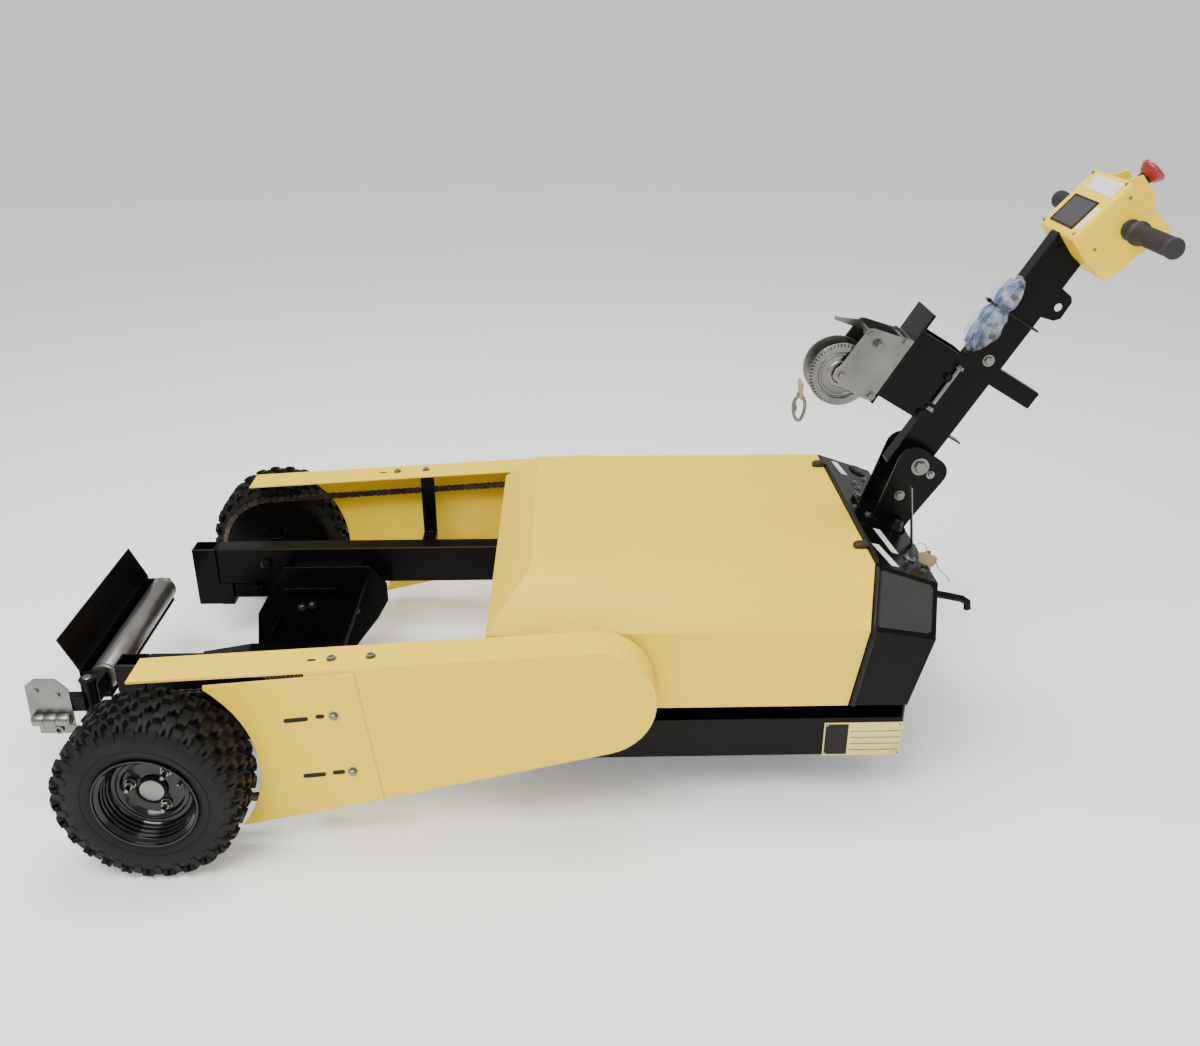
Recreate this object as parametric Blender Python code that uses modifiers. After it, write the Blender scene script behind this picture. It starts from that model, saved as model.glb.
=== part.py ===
"""Walk-behind electric aircraft tug: two chain-driven front wheels on side arms, a nose-wheel
cradle with a swinging roller gate, a lift-off hood over the battery, and a tilting tiller.

Metres, +Z up. X runs from the front gate (-X) to the handles (+X), Y across the machine.
Every X below is measured from the drive axle; the empty "tractor" then moves the whole
machine so that the origin is under the middle of its overall box, on the floor.
"""
import math

import bmesh
import bpy
from mathutils import Matrix, Vector

# Driving dimensions
AXLE_X = -0.76035
GAP = 0.0003
SHEET = 0.003

TYRE_R = 0.165
TYRE_Y = 0.510
TYRE_HALF = 0.065
RIM_BORE = 0.0135
AXLE_R = 0.0127

SPROCKET_X = 0.775
SPROCKET_Z = 0.283
CHAIN_R_FRONT = 0.128
CHAIN_R_REAR = 0.057
CHAIN_HALF = 0.010
CHAIN_Y = 0.430
CHAIN_HALF_WIDTH = 0.007

GUARD_OUT = 0.466
GUARD_IN = 0.388
GUARD_R = 0.1065
GUARD_TOP_SLOPE = math.atan(0.0553)
GUARD_LOW_SLOPE = math.atan(0.224)
GUARD_TIP_X = -0.039
GUARD_PLATE_X = 0.268

RAIL_IN = 0.226
RAIL_OUT = 0.272
RAIL_LOW = 0.170
RAIL_TOP = 0.258
RAIL_FRONT = -0.088
RAIL_REAR = 1.180
SOCKET_FRONT = -0.143
SOCKET_LOW = 0.115

CRADLE_Y = 0.180
CRADLE_SHEET = 0.004

GATE_PIN = (-0.202, -0.262)
ROLLER_X = -0.205
ROLLER_Z = 0.180
ROLLER_R = 0.028
ROLLER_HALF = 0.190

HOOD_HALF = 0.374
HOOD_TOP_HALF = 0.277
HOOD_FRONT = 0.577
HOOD_CREASE = 0.374
HOOD_TOP_FRONT = 0.6575
HOOD_TOP = 0.461
HOOD_LOW = 0.214
SEAM = ((1.246, HOOD_LOW), (1.273, HOOD_CREASE), (1.296, HOOD_TOP))
NOTCH_TOP = 0.270

HOUSING_REAR = ((1.354, 0.197), (1.395, 0.353), (1.419, 0.419))

PAN_FRONT = 0.600
PAN_REAR = 1.3565
PAN_LOW = 0.100
PAN_FLOOR = 0.140

CASTER_X = 1.190
CASTER_Y = 0.130
CASTER_TRAIL = 0.035
CASTER_R = 0.050

PIVOT = (1.431, 0.562)
TILLER_TILT = math.radians(59.0)
TILLER_FACES = (-0.049, 0.027)
TILLER_WIDTH = 0.038
DRUM = (0.0732, -0.2482)
HEAD_HALF = 0.082
GRIP = (1.7504, 1.033)

COLOURS = {
    "yellow_paint": ((0.82, 0.62, 0.20, 1.0), 0.38, 0.0),
    "black_paint": ((0.012, 0.011, 0.010, 1.0), 0.28, 0.0),
    "tyre_rubber": ((0.022, 0.020, 0.019, 1.0), 0.85, 0.0),
    "zinc_plate": ((0.52, 0.52, 0.50, 1.0), 0.35, 0.9),
    "chain_steel": ((0.10, 0.085, 0.075, 1.0), 0.5, 0.8),
    "latch_rubber": ((0.045, 0.018, 0.012, 1.0), 0.7, 0.0),
    "grip_rubber": ((0.030, 0.026, 0.022, 1.0), 0.75, 0.0),
    "red_plastic": ((0.45, 0.02, 0.03, 1.0), 0.35, 0.0),
    "label_plate": ((0.80, 0.74, 0.45, 1.0), 0.45, 0.0),
    "strap_webbing": ((0.10, 0.16, 0.33, 1.0), 0.6, 0.0),
    "caster_tread": ((0.20, 0.20, 0.20, 1.0), 0.6, 0.0),
    "battery_case": ((0.05, 0.05, 0.05, 1.0), 0.5, 0.0),
}


# Scene set-up

def clear_scene():
    for thing in list(bpy.data.objects):
        bpy.data.objects.remove(thing, do_unlink=True)


def new_collection(name):
    group = bpy.data.collections.new(name)
    bpy.context.scene.collection.children.link(group)
    return group


def new_material(name):
    colour, roughness, metallic = COLOURS[name]
    material = bpy.data.materials.new(name)
    material.use_nodes = True
    shader = material.node_tree.nodes["Principled BSDF"]
    shader.inputs["Base Color"].default_value = colour
    shader.inputs["Roughness"].default_value = roughness
    shader.inputs["Metallic"].default_value = metallic
    return material


def new_empty(name, place, parent=None):
    empty = bpy.data.objects.new(name, None)
    empty.location = place
    PARTS.objects.link(empty)
    empty.parent = parent
    return empty


# Shapes: each call gives one mesh object in axle coordinates

def from_bmesh(bm, group=None):
    mesh = bpy.data.meshes.new("shape")
    bmesh.ops.recalc_face_normals(bm, faces=bm.faces)
    bm.to_mesh(mesh)
    bm.free()
    shape = bpy.data.objects.new("shape", mesh)
    (group or PARTS).objects.link(shape)
    return shape


def block(x, y, z):
    bm = bmesh.new()
    bmesh.ops.create_cube(bm, size=1.0)
    size = Vector((x[1] - x[0], y[1] - y[0], z[1] - z[0]))
    middle = Vector((x[0] + x[1], y[0] + y[1], z[0] + z[1])) / 2
    bmesh.ops.scale(bm, vec=size, verts=bm.verts)
    bmesh.ops.translate(bm, vec=middle, verts=bm.verts)
    return from_bmesh(bm)


def rod(start, end, radius, end_radius=None, segments=24):
    start = Vector(start)
    along = Vector(end) - start
    bm = bmesh.new()
    bmesh.ops.create_cone(bm, cap_ends=True, segments=segments, radius1=radius,
                          radius2=end_radius or radius, depth=along.length)
    turn = along.to_track_quat("Z", "Y").to_matrix().to_4x4()
    place = Matrix.Translation(start + along / 2) @ turn
    bmesh.ops.transform(bm, matrix=place, verts=bm.verts)
    return from_bmesh(bm)


def plate(outline, y, hole=None):
    """A flat outline in X and Z, from y[0] to y[1] across; hole is (x, z, radius)."""
    curve = bpy.data.curves.new("outline", "CURVE")
    curve.dimensions = "2D"
    curve.fill_mode = "BOTH"
    curve.extrude = (y[1] - y[0]) / 2
    loops = [outline]
    if hole:
        loops.append(arc(hole[0], hole[1], hole[2], 0, 337.5, 16))
    for points in loops:
        spline = curve.splines.new("POLY")
        spline.points.add(len(points) - 1)
        for target, (x, z) in zip(spline.points, points):
            target.co = (x, z, 0.0, 1.0)
        spline.use_cyclic_u = True
    shape = bpy.data.objects.new("outline", curve)
    shape.matrix_world = Matrix.Translation((0, (y[0] + y[1]) / 2, 0)) @ Matrix.Rotation(
        math.pi / 2, 4, "X")
    PARTS.objects.link(shape)
    return to_mesh(shape)


def to_mesh(shape):
    bpy.context.view_layer.update()
    graph = bpy.context.evaluated_depsgraph_get()
    mesh = bpy.data.meshes.new_from_object(shape.evaluated_get(graph))
    mesh.transform(shape.matrix_world)
    bm = bmesh.new()
    bm.from_mesh(mesh)
    bmesh.ops.remove_doubles(bm, verts=bm.verts, dist=0.00001)
    bpy.data.meshes.remove(mesh)
    bpy.data.objects.remove(shape, do_unlink=True)
    return from_bmesh(bm)


def arc(x, z, radius, start, end, steps):
    """Points of an arc in X and Z, from start to end degrees."""
    points = []
    for step in range(steps):
        angle = math.radians(start + (end - start) * step / (steps - 1))
        points.append((x + radius * math.cos(angle), z + radius * math.sin(angle)))
    return points


def turned(profile, centre, side=1, steps=40):
    """A closed (radius, y) profile turned about Y; side -1 mirrors it across Y."""
    mesh = bpy.data.meshes.new("profile")
    points = [(radius, y * side, 0.0) for radius, y in profile]
    edges = [(i, (i + 1) % len(points)) for i in range(len(points))]
    mesh.from_pydata(points, edges, [])
    shape = bpy.data.objects.new("turned", mesh)
    shape.location = centre
    PARTS.objects.link(shape)
    screw = shape.modifiers.new("Screw", "SCREW")
    screw.axis = "Y"
    screw.steps = steps
    screw.render_steps = steps
    screw.use_merge_vertices = True
    screw.merge_threshold = 0.00001
    return to_mesh(shape)


def tube(points, radius, resolution=2):
    """A round bar along a run of points."""
    curve = bpy.data.curves.new("run", "CURVE")
    curve.dimensions = "3D"
    curve.bevel_depth = radius
    curve.bevel_resolution = resolution
    curve.use_fill_caps = True
    spline = curve.splines.new("POLY")
    spline.points.add(len(points) - 1)
    for target, point in zip(spline.points, points):
        target.co = (*point, 1.0)
    shape = bpy.data.objects.new("run", curve)
    PARTS.objects.link(shape)
    return to_mesh(shape)


def hull(points):
    bm = bmesh.new()
    for point in points:
        bm.verts.new(point)
    result = bmesh.ops.convex_hull(bm, input=bm.verts)
    loose = [v for v in result["geom_interior"] if isinstance(v, bmesh.types.BMVert)]
    bmesh.ops.delete(bm, geom=loose, context="VERTS")
    bmesh.ops.dissolve_limit(bm, angle_limit=0.001, verts=bm.verts, edges=bm.edges)
    return from_bmesh(bm)


def combine(base, other, operation):
    modifier = base.modifiers.new(operation, "BOOLEAN")
    modifier.operation = operation
    modifier.object = other
    result = to_mesh(base)
    bpy.data.objects.remove(other, do_unlink=True)
    return result


def union(base, *others):
    for other in others:
        base = combine(base, other, "UNION")
    return base


def cut(base, *others):
    for other in others:
        base = combine(base, other, "DIFFERENCE")
    return base


def rotate(shape, angle, axis, centre):
    """Turn a shape about an axis through a point, in its mesh."""
    centre = Vector(centre)
    turn = Matrix.Rotation(angle, 4, axis)
    shape.data.transform(Matrix.Translation(centre) @ turn @ Matrix.Translation(-centre))
    return shape


def soften(shape, width, segments=2):
    bevel = shape.modifiers.new("Bevel", "BEVEL")
    bevel.width = width
    bevel.segments = segments
    bevel.limit_method = "ANGLE"
    bevel.angle_limit = math.radians(50)
    return to_mesh(shape)


def finish(shape, name, material, carrier=None):
    """Name a shape, give it its material and hang it on its carrier's axis."""
    carrier = carrier or TRACTOR
    pivot = carrier.matrix_world.translation - Vector((AXLE_X, 0, 0))
    shape.data.transform(Matrix.Translation(-pivot))
    shape.name = name
    shape.data.name = name
    shape.data.materials.clear()
    shape.data.materials.append(MATERIALS[material])
    shape.data.shade_smooth()
    shape.data.set_sharp_from_angle(angle=math.radians(35))
    shape.parent = carrier
    return shape


def pair(a, b, side):
    """A Y range on one side of the machine, low value first."""
    return (a, b) if side > 0 else (-b, -a)


def moving(name, x, y, z):
    """An empty on a joint's axis, carried by the tractor."""
    empty = new_empty(name, (x, y, z), TRACTOR)
    bpy.context.view_layer.update()
    return empty


# Drive wheels, spindles and chains

def tyre_profile():
    crown = [(0.150, 0.0615), (0.160, 0.052), (TYRE_R, 0.036)]
    outer = [(0.0823, 0.0547), (0.0915, 0.0567), (0.104, 0.0625), (0.125, TYRE_HALF)] + crown
    return outer + [(radius, -y) for radius, y in reversed(outer)]


def rim_profile():
    """Barrel with two flanges, recessed disc, hub and bore, y outward from the tyre centre."""
    outside = [(0.091, 0.063), (0.091, 0.057), (0.082, 0.055), (0.082, -0.055),
               (0.091, -0.057), (0.091, -0.063)]
    inside = [(0.088, -0.063), (0.079, -0.053), (0.079, 0.004), (0.028, 0.004), (0.028, -0.074)]
    bore = [(RIM_BORE, -0.074), (RIM_BORE, 0.018), (0.0, 0.018)]
    front = [(0.0, 0.021), (0.0215, 0.021), (0.0235, 0.019), (0.0235, 0.008), (0.079, 0.008),
             (0.079, 0.053), (0.088, 0.063)]
    return outside + inside + bore + front


def drive_wheel(side, word):
    axis = moving("wheel_axis_" + word, 0, TYRE_Y * side, TYRE_R)
    centre = (0, TYRE_Y * side, TYRE_R)
    tyre = turned(tyre_profile(), centre, side, 40)
    finish(tyre, "tyre_" + word, "tyre_rubber", axis)
    rim = turned(rim_profile(), centre, side, 28)
    for angle in (172, 52, -68):
        x = 0.041 * math.cos(math.radians(angle))
        z = TYRE_R + 0.041 * math.sin(math.radians(angle))
        near = (TYRE_Y + 0.006) * side
        rim = union(rim, rod((x, near, z), (x, (TYRE_Y + 0.018) * side, z), 0.0085, segments=6),
                    rod((x, near, z), (x, (TYRE_Y + 0.034) * side, z), 0.0045, segments=8))
    finish(rim, "rim_" + word, "black_paint", axis)
    low, high = pair(CHAIN_Y - 0.003, CHAIN_Y + 0.003, side)
    disc = rod((0, low, TYRE_R), (0, high, TYRE_R), CHAIN_R_FRONT - CHAIN_HALF - 0.001,
               segments=48)
    disc = cut(disc, rod((0, low - 0.01, TYRE_R), (0, high + 0.01, TYRE_R), AXLE_R + 0.001))
    finish(disc, "wheel_sprocket_" + word, "chain_steel", axis)


def spindle(side, word):
    """Stub axle through a bearing plate welded under the rail."""
    bearing = block((-0.060, 0.060), pair(0.232, 0.266, side), (0.128, RAIL_LOW - GAP))
    bearing = soften(bearing, 0.004, 1)
    ends = pair(0.205, TYRE_Y + 0.012, side)
    stub = rod((0, ends[0], TYRE_R), (0, ends[1], TYRE_R), AXLE_R - GAP)
    collar = rod((0, 0.2655 * side, TYRE_R), (0, (TYRE_Y - 0.090) * side, TYRE_R), 0.0195)
    boot = union(bearing, stub, collar)
    top = block((-0.1, 0.1), pair(RAIL_IN - 0.03, RAIL_OUT + GAP, side), (RAIL_LOW - GAP, 0.30))
    boot = cut(boot, top)
    finish(boot, "spindle_" + word, "black_paint")


def chain_outline(offset):
    """The loop round both sprockets, at an offset from the pitch line."""
    front, rear = CHAIN_R_FRONT + offset, CHAIN_R_REAR + offset
    across, rise = SPROCKET_X, SPROCKET_Z - TYRE_R
    span = math.hypot(across, rise)
    tilt = math.degrees(math.atan2(rise, across))
    lean = math.degrees(math.acos((front - rear) / span))
    rear_arc = arc(SPROCKET_X, SPROCKET_Z, rear, tilt - lean, tilt + lean, 12)
    front_arc = arc(0, TYRE_R, front, tilt + lean, tilt + 360 - lean, 20)
    return rear_arc + front_arc


def chain(side, word):
    ys = pair(CHAIN_Y - CHAIN_HALF_WIDTH, CHAIN_Y + CHAIN_HALF_WIDTH, side)
    loop = plate(chain_outline(CHAIN_HALF), ys)
    core = plate(chain_outline(-CHAIN_HALF), (ys[0] - 0.01, ys[1] + 0.01))
    finish(cut(loop, core), "chain_" + word, "chain_steel")


def cross_shaft():
    """Shaft from the drive motor to both chains, with its two sprockets."""
    end = CHAIN_Y + 0.018
    shaft = rod((SPROCKET_X, -end, SPROCKET_Z), (SPROCKET_X, end, SPROCKET_Z), AXLE_R)
    for side in (-1, 1):
        ys = pair(CHAIN_Y - 0.003, CHAIN_Y + 0.003, side)
        shaft = union(shaft, rod((SPROCKET_X, ys[0], SPROCKET_Z), (SPROCKET_X, ys[1], SPROCKET_Z),
                                 CHAIN_R_REAR - CHAIN_HALF - 0.001))
    finish(shaft, "drive_shaft", "chain_steel")


# Side arms: chain guards, their front plates and posts

def guard_top(x):
    """Height of the guard's top line at x."""
    touch_x = SPROCKET_X - GUARD_R * math.sin(GUARD_TOP_SLOPE)
    touch_z = SPROCKET_Z + GUARD_R * math.cos(GUARD_TOP_SLOPE)
    return touch_z + math.tan(GUARD_TOP_SLOPE) * (x - touch_x)


def guard_low(x):
    """Height of the guard's bottom line at x."""
    touch_x = SPROCKET_X + GUARD_R * math.sin(GUARD_LOW_SLOPE)
    touch_z = SPROCKET_Z - GUARD_R * math.cos(GUARD_LOW_SLOPE)
    return touch_z + math.tan(GUARD_LOW_SLOPE) * (x - touch_x)


def guard_outline(front, inset):
    """Tapered arm side with a round rear end, from x = front."""
    start = math.degrees(GUARD_LOW_SLOPE) - 90
    end = 90 + math.degrees(GUARD_TOP_SLOPE)
    low = (front, guard_low(front) + inset / math.cos(GUARD_LOW_SLOPE))
    high = (front, guard_top(front) - inset / math.cos(GUARD_TOP_SLOPE))
    return [low] + arc(SPROCKET_X, SPROCKET_Z, GUARD_R - inset, start, end, 20) + [high]


def chain_guard(side, word):
    """Folded guard, open inwards; in front only its top flange reaches over the tyre."""
    tip = GUARD_TIP_X
    shell = plate(guard_outline(tip, 0), pair(GUARD_IN, GUARD_OUT, side))
    core = plate(guard_outline(tip - 0.05, SHEET),
                 pair(GUARD_IN - 0.02, GUARD_OUT - SHEET, side))
    lip = SHEET + 0.002
    front = plate([(tip - 0.05, -0.1), (GUARD_PLATE_X, -0.1),
                   (GUARD_PLATE_X, guard_top(GUARD_PLATE_X) - lip),
                   (tip - 0.05, guard_top(tip - 0.05) - lip)],
                  pair(GUARD_IN - 0.01, GUARD_OUT + 0.01, side))
    finish(cut(shell, core, front), "chain_guard_" + word, "yellow_paint")


def guard_front(side, word):
    """Adjustable front plate, lapped over the outside of the guard."""
    top_rear, low_rear = (0.355, guard_top(0.355) - 0.008), (0.387, guard_low(0.387) + 0.001)
    edge = arc(-0.035, TYRE_R, 0.2065, 52, -39.5, 16)
    outline = [low_rear, top_rear, (edge[0][0] + 0.001, guard_top(edge[0][0]) - 0.015)] + edge
    shape = plate(outline, pair(GUARD_OUT + GAP, GUARD_OUT + GAP + SHEET, side))
    finish(soften(shape, 0.0008, 1), "guard_front_" + word, "yellow_paint")


def guard_post(side, word):
    """Upright that holds the guard's top flange off the rail."""
    top = guard_top(0.371) - SHEET - GAP
    upright = block((0.371, 0.403), pair(0.3885, 0.3945, side), (0.190, top))
    foot = block((0.371, 0.403), pair(RAIL_OUT + GAP, 0.392, side), (0.190, 0.222))
    finish(union(upright, foot), "guard_post_" + word, "black_paint")


# Chassis

def rail(side, word):
    bar = block((RAIL_FRONT + GAP, RAIL_REAR), pair(RAIL_IN, RAIL_OUT, side),
                (RAIL_LOW, RAIL_TOP))
    inside = block((RAIL_FRONT + SHEET, RAIL_REAR + 0.02),
                   pair(RAIL_IN + SHEET, RAIL_OUT - SHEET, side),
                   (RAIL_LOW + SHEET, RAIL_TOP - SHEET))
    finish(cut(soften(bar, 0.003), inside), "rail_" + word, "black_paint")


def tow_socket(side, word):
    """Upright socket at the rail's front end, open at the top."""
    post = block((SOCKET_FRONT, RAIL_FRONT), pair(RAIL_IN, RAIL_OUT, side),
                 (SOCKET_LOW, RAIL_TOP))
    post = soften(post, 0.002, 1)
    foot = block((RAIL_FRONT - 0.002, -0.0605), pair(RAIL_IN, RAIL_OUT, side),
                 (SOCKET_LOW, RAIL_LOW - GAP))
    well = block((SOCKET_FRONT + 0.005, RAIL_FRONT - 0.005),
                 pair(RAIL_IN + 0.005, RAIL_OUT - 0.005, side), (RAIL_LOW, RAIL_TOP + 0.02))
    finish(cut(union(post, foot), well), "tow_socket_" + word, "black_paint")


def chassis_pan():
    """Tray between the rails' rear ends: raised floor, skirts below it, rim above it."""
    x, y = (PAN_FRONT, PAN_REAR), (-HOOD_HALF, HOOD_HALF)
    pan = soften(block(x, y, (PAN_LOW, HOOD_LOW - GAP * 2)), 0.004, 1)
    inner_x = (PAN_FRONT + SHEET, PAN_REAR - SHEET)
    inner_y = (-HOOD_HALF + SHEET, HOOD_HALF - SHEET)
    pan = cut(pan, block(inner_x, inner_y, (PAN_FLOOR + SHEET, 0.3)),
              block(inner_x, inner_y, (0.0, PAN_FLOOR)))
    for side in (-1, 1):
        ys = pair(RAIL_IN - GAP, RAIL_OUT + GAP, side)
        pan = cut(pan, block((PAN_FRONT - 0.02, PAN_FRONT + 0.02), ys, (RAIL_LOW - GAP, 0.3)))
    low, high = HOUSING_REAR[0][0] - 0.004, 0.5
    pan = cut(pan, block((low, high), (-HOOD_HALF - 0.01, HOOD_HALF + 0.01), (0.186, 0.3)))
    finish(pan, "chassis_pan", "black_paint")


def battery_and_motor():
    box = block((0.870, 1.140), (-0.200, 0.200), (PAN_FLOOR + SHEET + GAP, 0.350))
    finish(soften(box, 0.006, 1), "battery_pack", "battery_case")
    base = block((0.690, 0.855), (-0.090, 0.090), (PAN_FLOOR + SHEET + GAP, 0.262))
    body = rod((0.790, -0.110, 0.225), (0.790, 0.110, 0.225), 0.040)
    motor = union(base, body)
    saddle = rod((SPROCKET_X, -0.2, SPROCKET_Z), (SPROCKET_X, 0.2, SPROCKET_Z), AXLE_R + GAP)
    finish(cut(motor, saddle), "drive_motor", "battery_case")


def section(profile, inset=0.0):
    """Six-sided body section: two lower corners, two creases, two top corners."""
    low, crease, top = profile
    points = []
    for side in (-1, 1):
        points.append((low[0], (HOOD_HALF - inset) * side, low[1]))
        points.append((crease[0], (HOOD_HALF - inset) * side, crease[1] - inset * 0.4))
        points.append((top[0], (HOOD_TOP_HALF - inset * 0.6) * side, top[1] - inset))
    return points


def hood_body(inset, seam_shift=0.0, drop=0.0):
    front = ((HOOD_FRONT + inset, HOOD_LOW - drop), (HOOD_FRONT + inset, HOOD_CREASE),
             (HOOD_TOP_FRONT + inset * 0.4, HOOD_TOP))
    back = [(x + seam_shift, z) for x, z in SEAM]
    back[0] = (back[0][0], back[0][1] - drop)
    return hull(section(front, inset) + section(back, inset))


def hood():
    """Sheet hood that lifts straight off: its cut-outs for rails and shaft are open below."""
    axis = moving("hood_lift_axis", 0.937, 0, HOOD_LOW)
    shell = cut(hood_body(0.0), hood_body(SHEET, 0.05, 0.05))
    for side in (-1, 1):
        ys = pair(RAIL_IN - 0.006, RAIL_OUT + 0.006, side)
        notch = block((HOOD_FRONT - 0.02, HOOD_FRONT + 0.02), ys, (HOOD_LOW - 0.02, NOTCH_TOP))
        ends = pair(HOOD_HALF - 0.02, HOOD_HALF + 0.02, side)
        slot = block((SPROCKET_X - 0.020, SPROCKET_X + 0.020), ends,
                     (HOOD_LOW - 0.02, SPROCKET_Z + 0.020))
        shell = cut(shell, notch, slot)
    finish(shell, "hood", "yellow_paint", axis)
    for side, word in ((-1, "left"), (1, "right")):
        ys = pair(0.200, 0.226, side)
        grip = block((1.268, 1.312), ys, (HOOD_TOP + GAP, HOOD_TOP + 0.012))
        grip = soften(grip, 0.003, 1)
        finish(grip, "hood_latch_" + word, "latch_rubber", axis)


def cross_tie():
    """Flat bar between the rails, just behind the hood's front sheet."""
    tie = block((0.586, 0.597), (-RAIL_IN + GAP, RAIL_IN - GAP), (0.180, 0.245))
    finish(soften(tie, 0.001, 1), "cross_tie", "black_paint")


def rear_housing():
    """Control housing behind the hood seam, hollow and open towards the hood."""
    seam = [(x + 0.0012, z) for x, z in SEAM]
    shell = hull(section(seam) + section(HOUSING_REAR))
    inner_front = [(x - 0.03, z) for x, z in SEAM]
    inner_rear = [(x - SHEET, z) for x, z in HOUSING_REAR]
    inner_front[0] = (inner_front[0][0], inner_front[0][1] + SHEET)
    inner_rear[0] = (inner_rear[0][0], inner_rear[0][1] + SHEET)
    shell = cut(shell, hull(section(inner_front, SHEET) + section(inner_rear, SHEET)))
    step = block((1.20, PAN_REAR + 0.001), (-0.4, 0.4), (0.1, HOOD_LOW - GAP))
    finish(cut(shell, step), "rear_housing", "black_paint")


def deck_height(x):
    """Height of the sloping deck at x."""
    front, rear = SEAM[2], HOUSING_REAR[2]
    return front[1] + (rear[1] - front[1]) * (x - front[0]) / (rear[0] - front[0])


def rear_fittings():
    plate_x = (1.206, 1.3545)
    sign = block(plate_x, (-HOOD_HALF - 0.0018, -HOOD_HALF - GAP), (0.102, 0.176))
    finish(sign, "rating_plate", "label_plate")
    y = -0.250
    hook = tube([(1.4125, y, 0.3842), (1.448, y, 0.3770), (1.478, y, 0.3700),
                 (1.490, y, 0.3620), (1.492, y, 0.3480)], 0.0075)
    finish(hook, "rear_hook", "black_paint")


# Casters

def caster(side, word):
    y = CASTER_Y * side
    swivel = moving("caster_swivel_" + word, CASTER_X, y, PAN_FLOOR)
    wheel_x = CASTER_X + CASTER_TRAIL
    crown = rod((CASTER_X, y, 0.113), (CASTER_X, y, PAN_FLOOR - GAP), 0.030)
    bridge = block((CASTER_X - 0.020, wheel_x + 0.016), (y - 0.025, y + 0.025), (0.108, 0.118))
    fork = union(crown, bridge)
    for cheek in (-1, 1):
        inner, outer = y + 0.020 * cheek, y + 0.024 * cheek
        ys = (min(inner, outer), max(inner, outer))
        outline = [(CASTER_X - 0.014, 0.112), (wheel_x - 0.013, 0.045)] + arc(
            wheel_x, CASTER_R, 0.014, 200, 340, 7) + [(wheel_x + 0.013, 0.112)]
        fork = union(fork, plate(outline, ys))
    pin = rod((wheel_x, y - 0.027, CASTER_R), (wheel_x, y + 0.027, CASTER_R), 0.005, segments=12)
    finish(union(fork, pin), "caster_fork_" + word, "zinc_plate", swivel)
    axle = moving("caster_axle_" + word, wheel_x, y, CASTER_R)
    edge = 0.016
    profile = [(0.0065, -edge), (0.0065, edge), (CASTER_R - 0.004, edge),
               (CASTER_R, edge - 0.005), (CASTER_R, -edge + 0.005), (CASTER_R - 0.004, -edge)]
    wheel = turned(profile, (wheel_x, y, CASTER_R), 1, 32)
    finish(wheel, "caster_wheel_" + word, "caster_tread", axle)


# Nose-wheel cradle and front gate

def cradle_side(side, word):
    outline = [(-0.007, 0.022), (0.004, 0.114), (0.075, 0.233), (0.270, 0.233), (0.307, 0.190),
               (0.307, 0.145), (0.280, 0.098), (0.222, 0.022)]
    cheek = plate(outline, pair(CRADLE_Y, CRADLE_Y + CRADLE_SHEET, side))
    spacer = block((0.095, 0.250), pair(CRADLE_Y + 0.002, RAIL_IN - GAP, side), (0.176, 0.228))
    finish(union(cheek, spacer), "cradle_side_" + word, "black_paint")


def cradle_floor():
    """Folded plate: entry ramp, low floor and the inclined back that stops the wheel."""
    half = CRADLE_Y - GAP
    top = [(-0.135, 0.016), (-0.020, 0.036), (0.175, 0.036), (0.262, 0.205)]
    low = [(0.2665, 0.203), (0.1775, 0.032), (-0.020, 0.032), (-0.135, 0.012)]
    finish(plate(top + low, (-half, half)), "cradle_floor", "black_paint")


def gate():
    """Arm on an upright pin that carries the entry roller and its kick plate."""
    pin_x, pin_y = GATE_PIN
    swing = moving("gate_pin", pin_x, pin_y, ROLLER_Z)
    end = ROLLER_HALF
    post = rod((pin_x, pin_y, 0.148), (pin_x, pin_y, 0.222), 0.015)
    arm = block((ROLLER_X - 0.012, ROLLER_X + 0.012), (pin_y, -end - 0.006), (0.160, 0.200))
    lug = block((-0.244, -0.206), (-0.2852, pin_y), (0.165, 0.195))
    lean = [(-0.2410, 0.146), (-0.2410, 0.206), (-0.2735, 0.276), (-0.2765, 0.2745),
            (-0.2450, 0.205), (-0.2450, 0.142), (-0.1900, 0.142), (-0.1900, 0.146)]
    kick = plate(lean, (-end - 0.012, end + 0.012))
    arms = [block((-0.2430, ROLLER_X + 0.014), ys, (0.143, 0.200)) for ys in
            ((-end - 0.010, -end - 0.006), (end + 0.006, end + 0.010))]
    axle = rod((ROLLER_X, -end - 0.008, ROLLER_Z), (ROLLER_X, end + 0.008, ROLLER_Z), 0.006,
               segments=12)
    frame = union(post, arm, lug, kick, arms[0], arms[1], axle)
    finish(frame, "gate_arm", "black_paint", swing)
    roll = moving("gate_roller_axis", ROLLER_X, 0, ROLLER_Z)
    wall = ROLLER_R - SHEET
    profile = [(0.0075, -end), (0.0075, -end + 0.005), (wall, -end + 0.005),
               (wall, end - 0.005), (0.0075, end - 0.005), (0.0075, end),
               (ROLLER_R - 0.002, end), (ROLLER_R, end - 0.002),
               (ROLLER_R, -end + 0.002), (ROLLER_R - 0.002, -end)]
    roller = turned(profile, (ROLLER_X, 0, ROLLER_Z), 1, 32)
    finish(roller, "gate_roller", "zinc_plate", roll)
    gate_latch(swing)


def gate_hinge():
    """Fixed brackets above and below the gate's post, carried by the near tow socket."""
    pin_x, pin_y = GATE_PIN
    low = union(block((pin_x - 0.018, SOCKET_FRONT - GAP), (-0.272, -0.240), (0.128, 0.1425)),
                rod((pin_x, pin_y, 0.128), (pin_x, pin_y, 0.1425), 0.018))
    finish(low, "gate_hinge", "black_paint")


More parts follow.
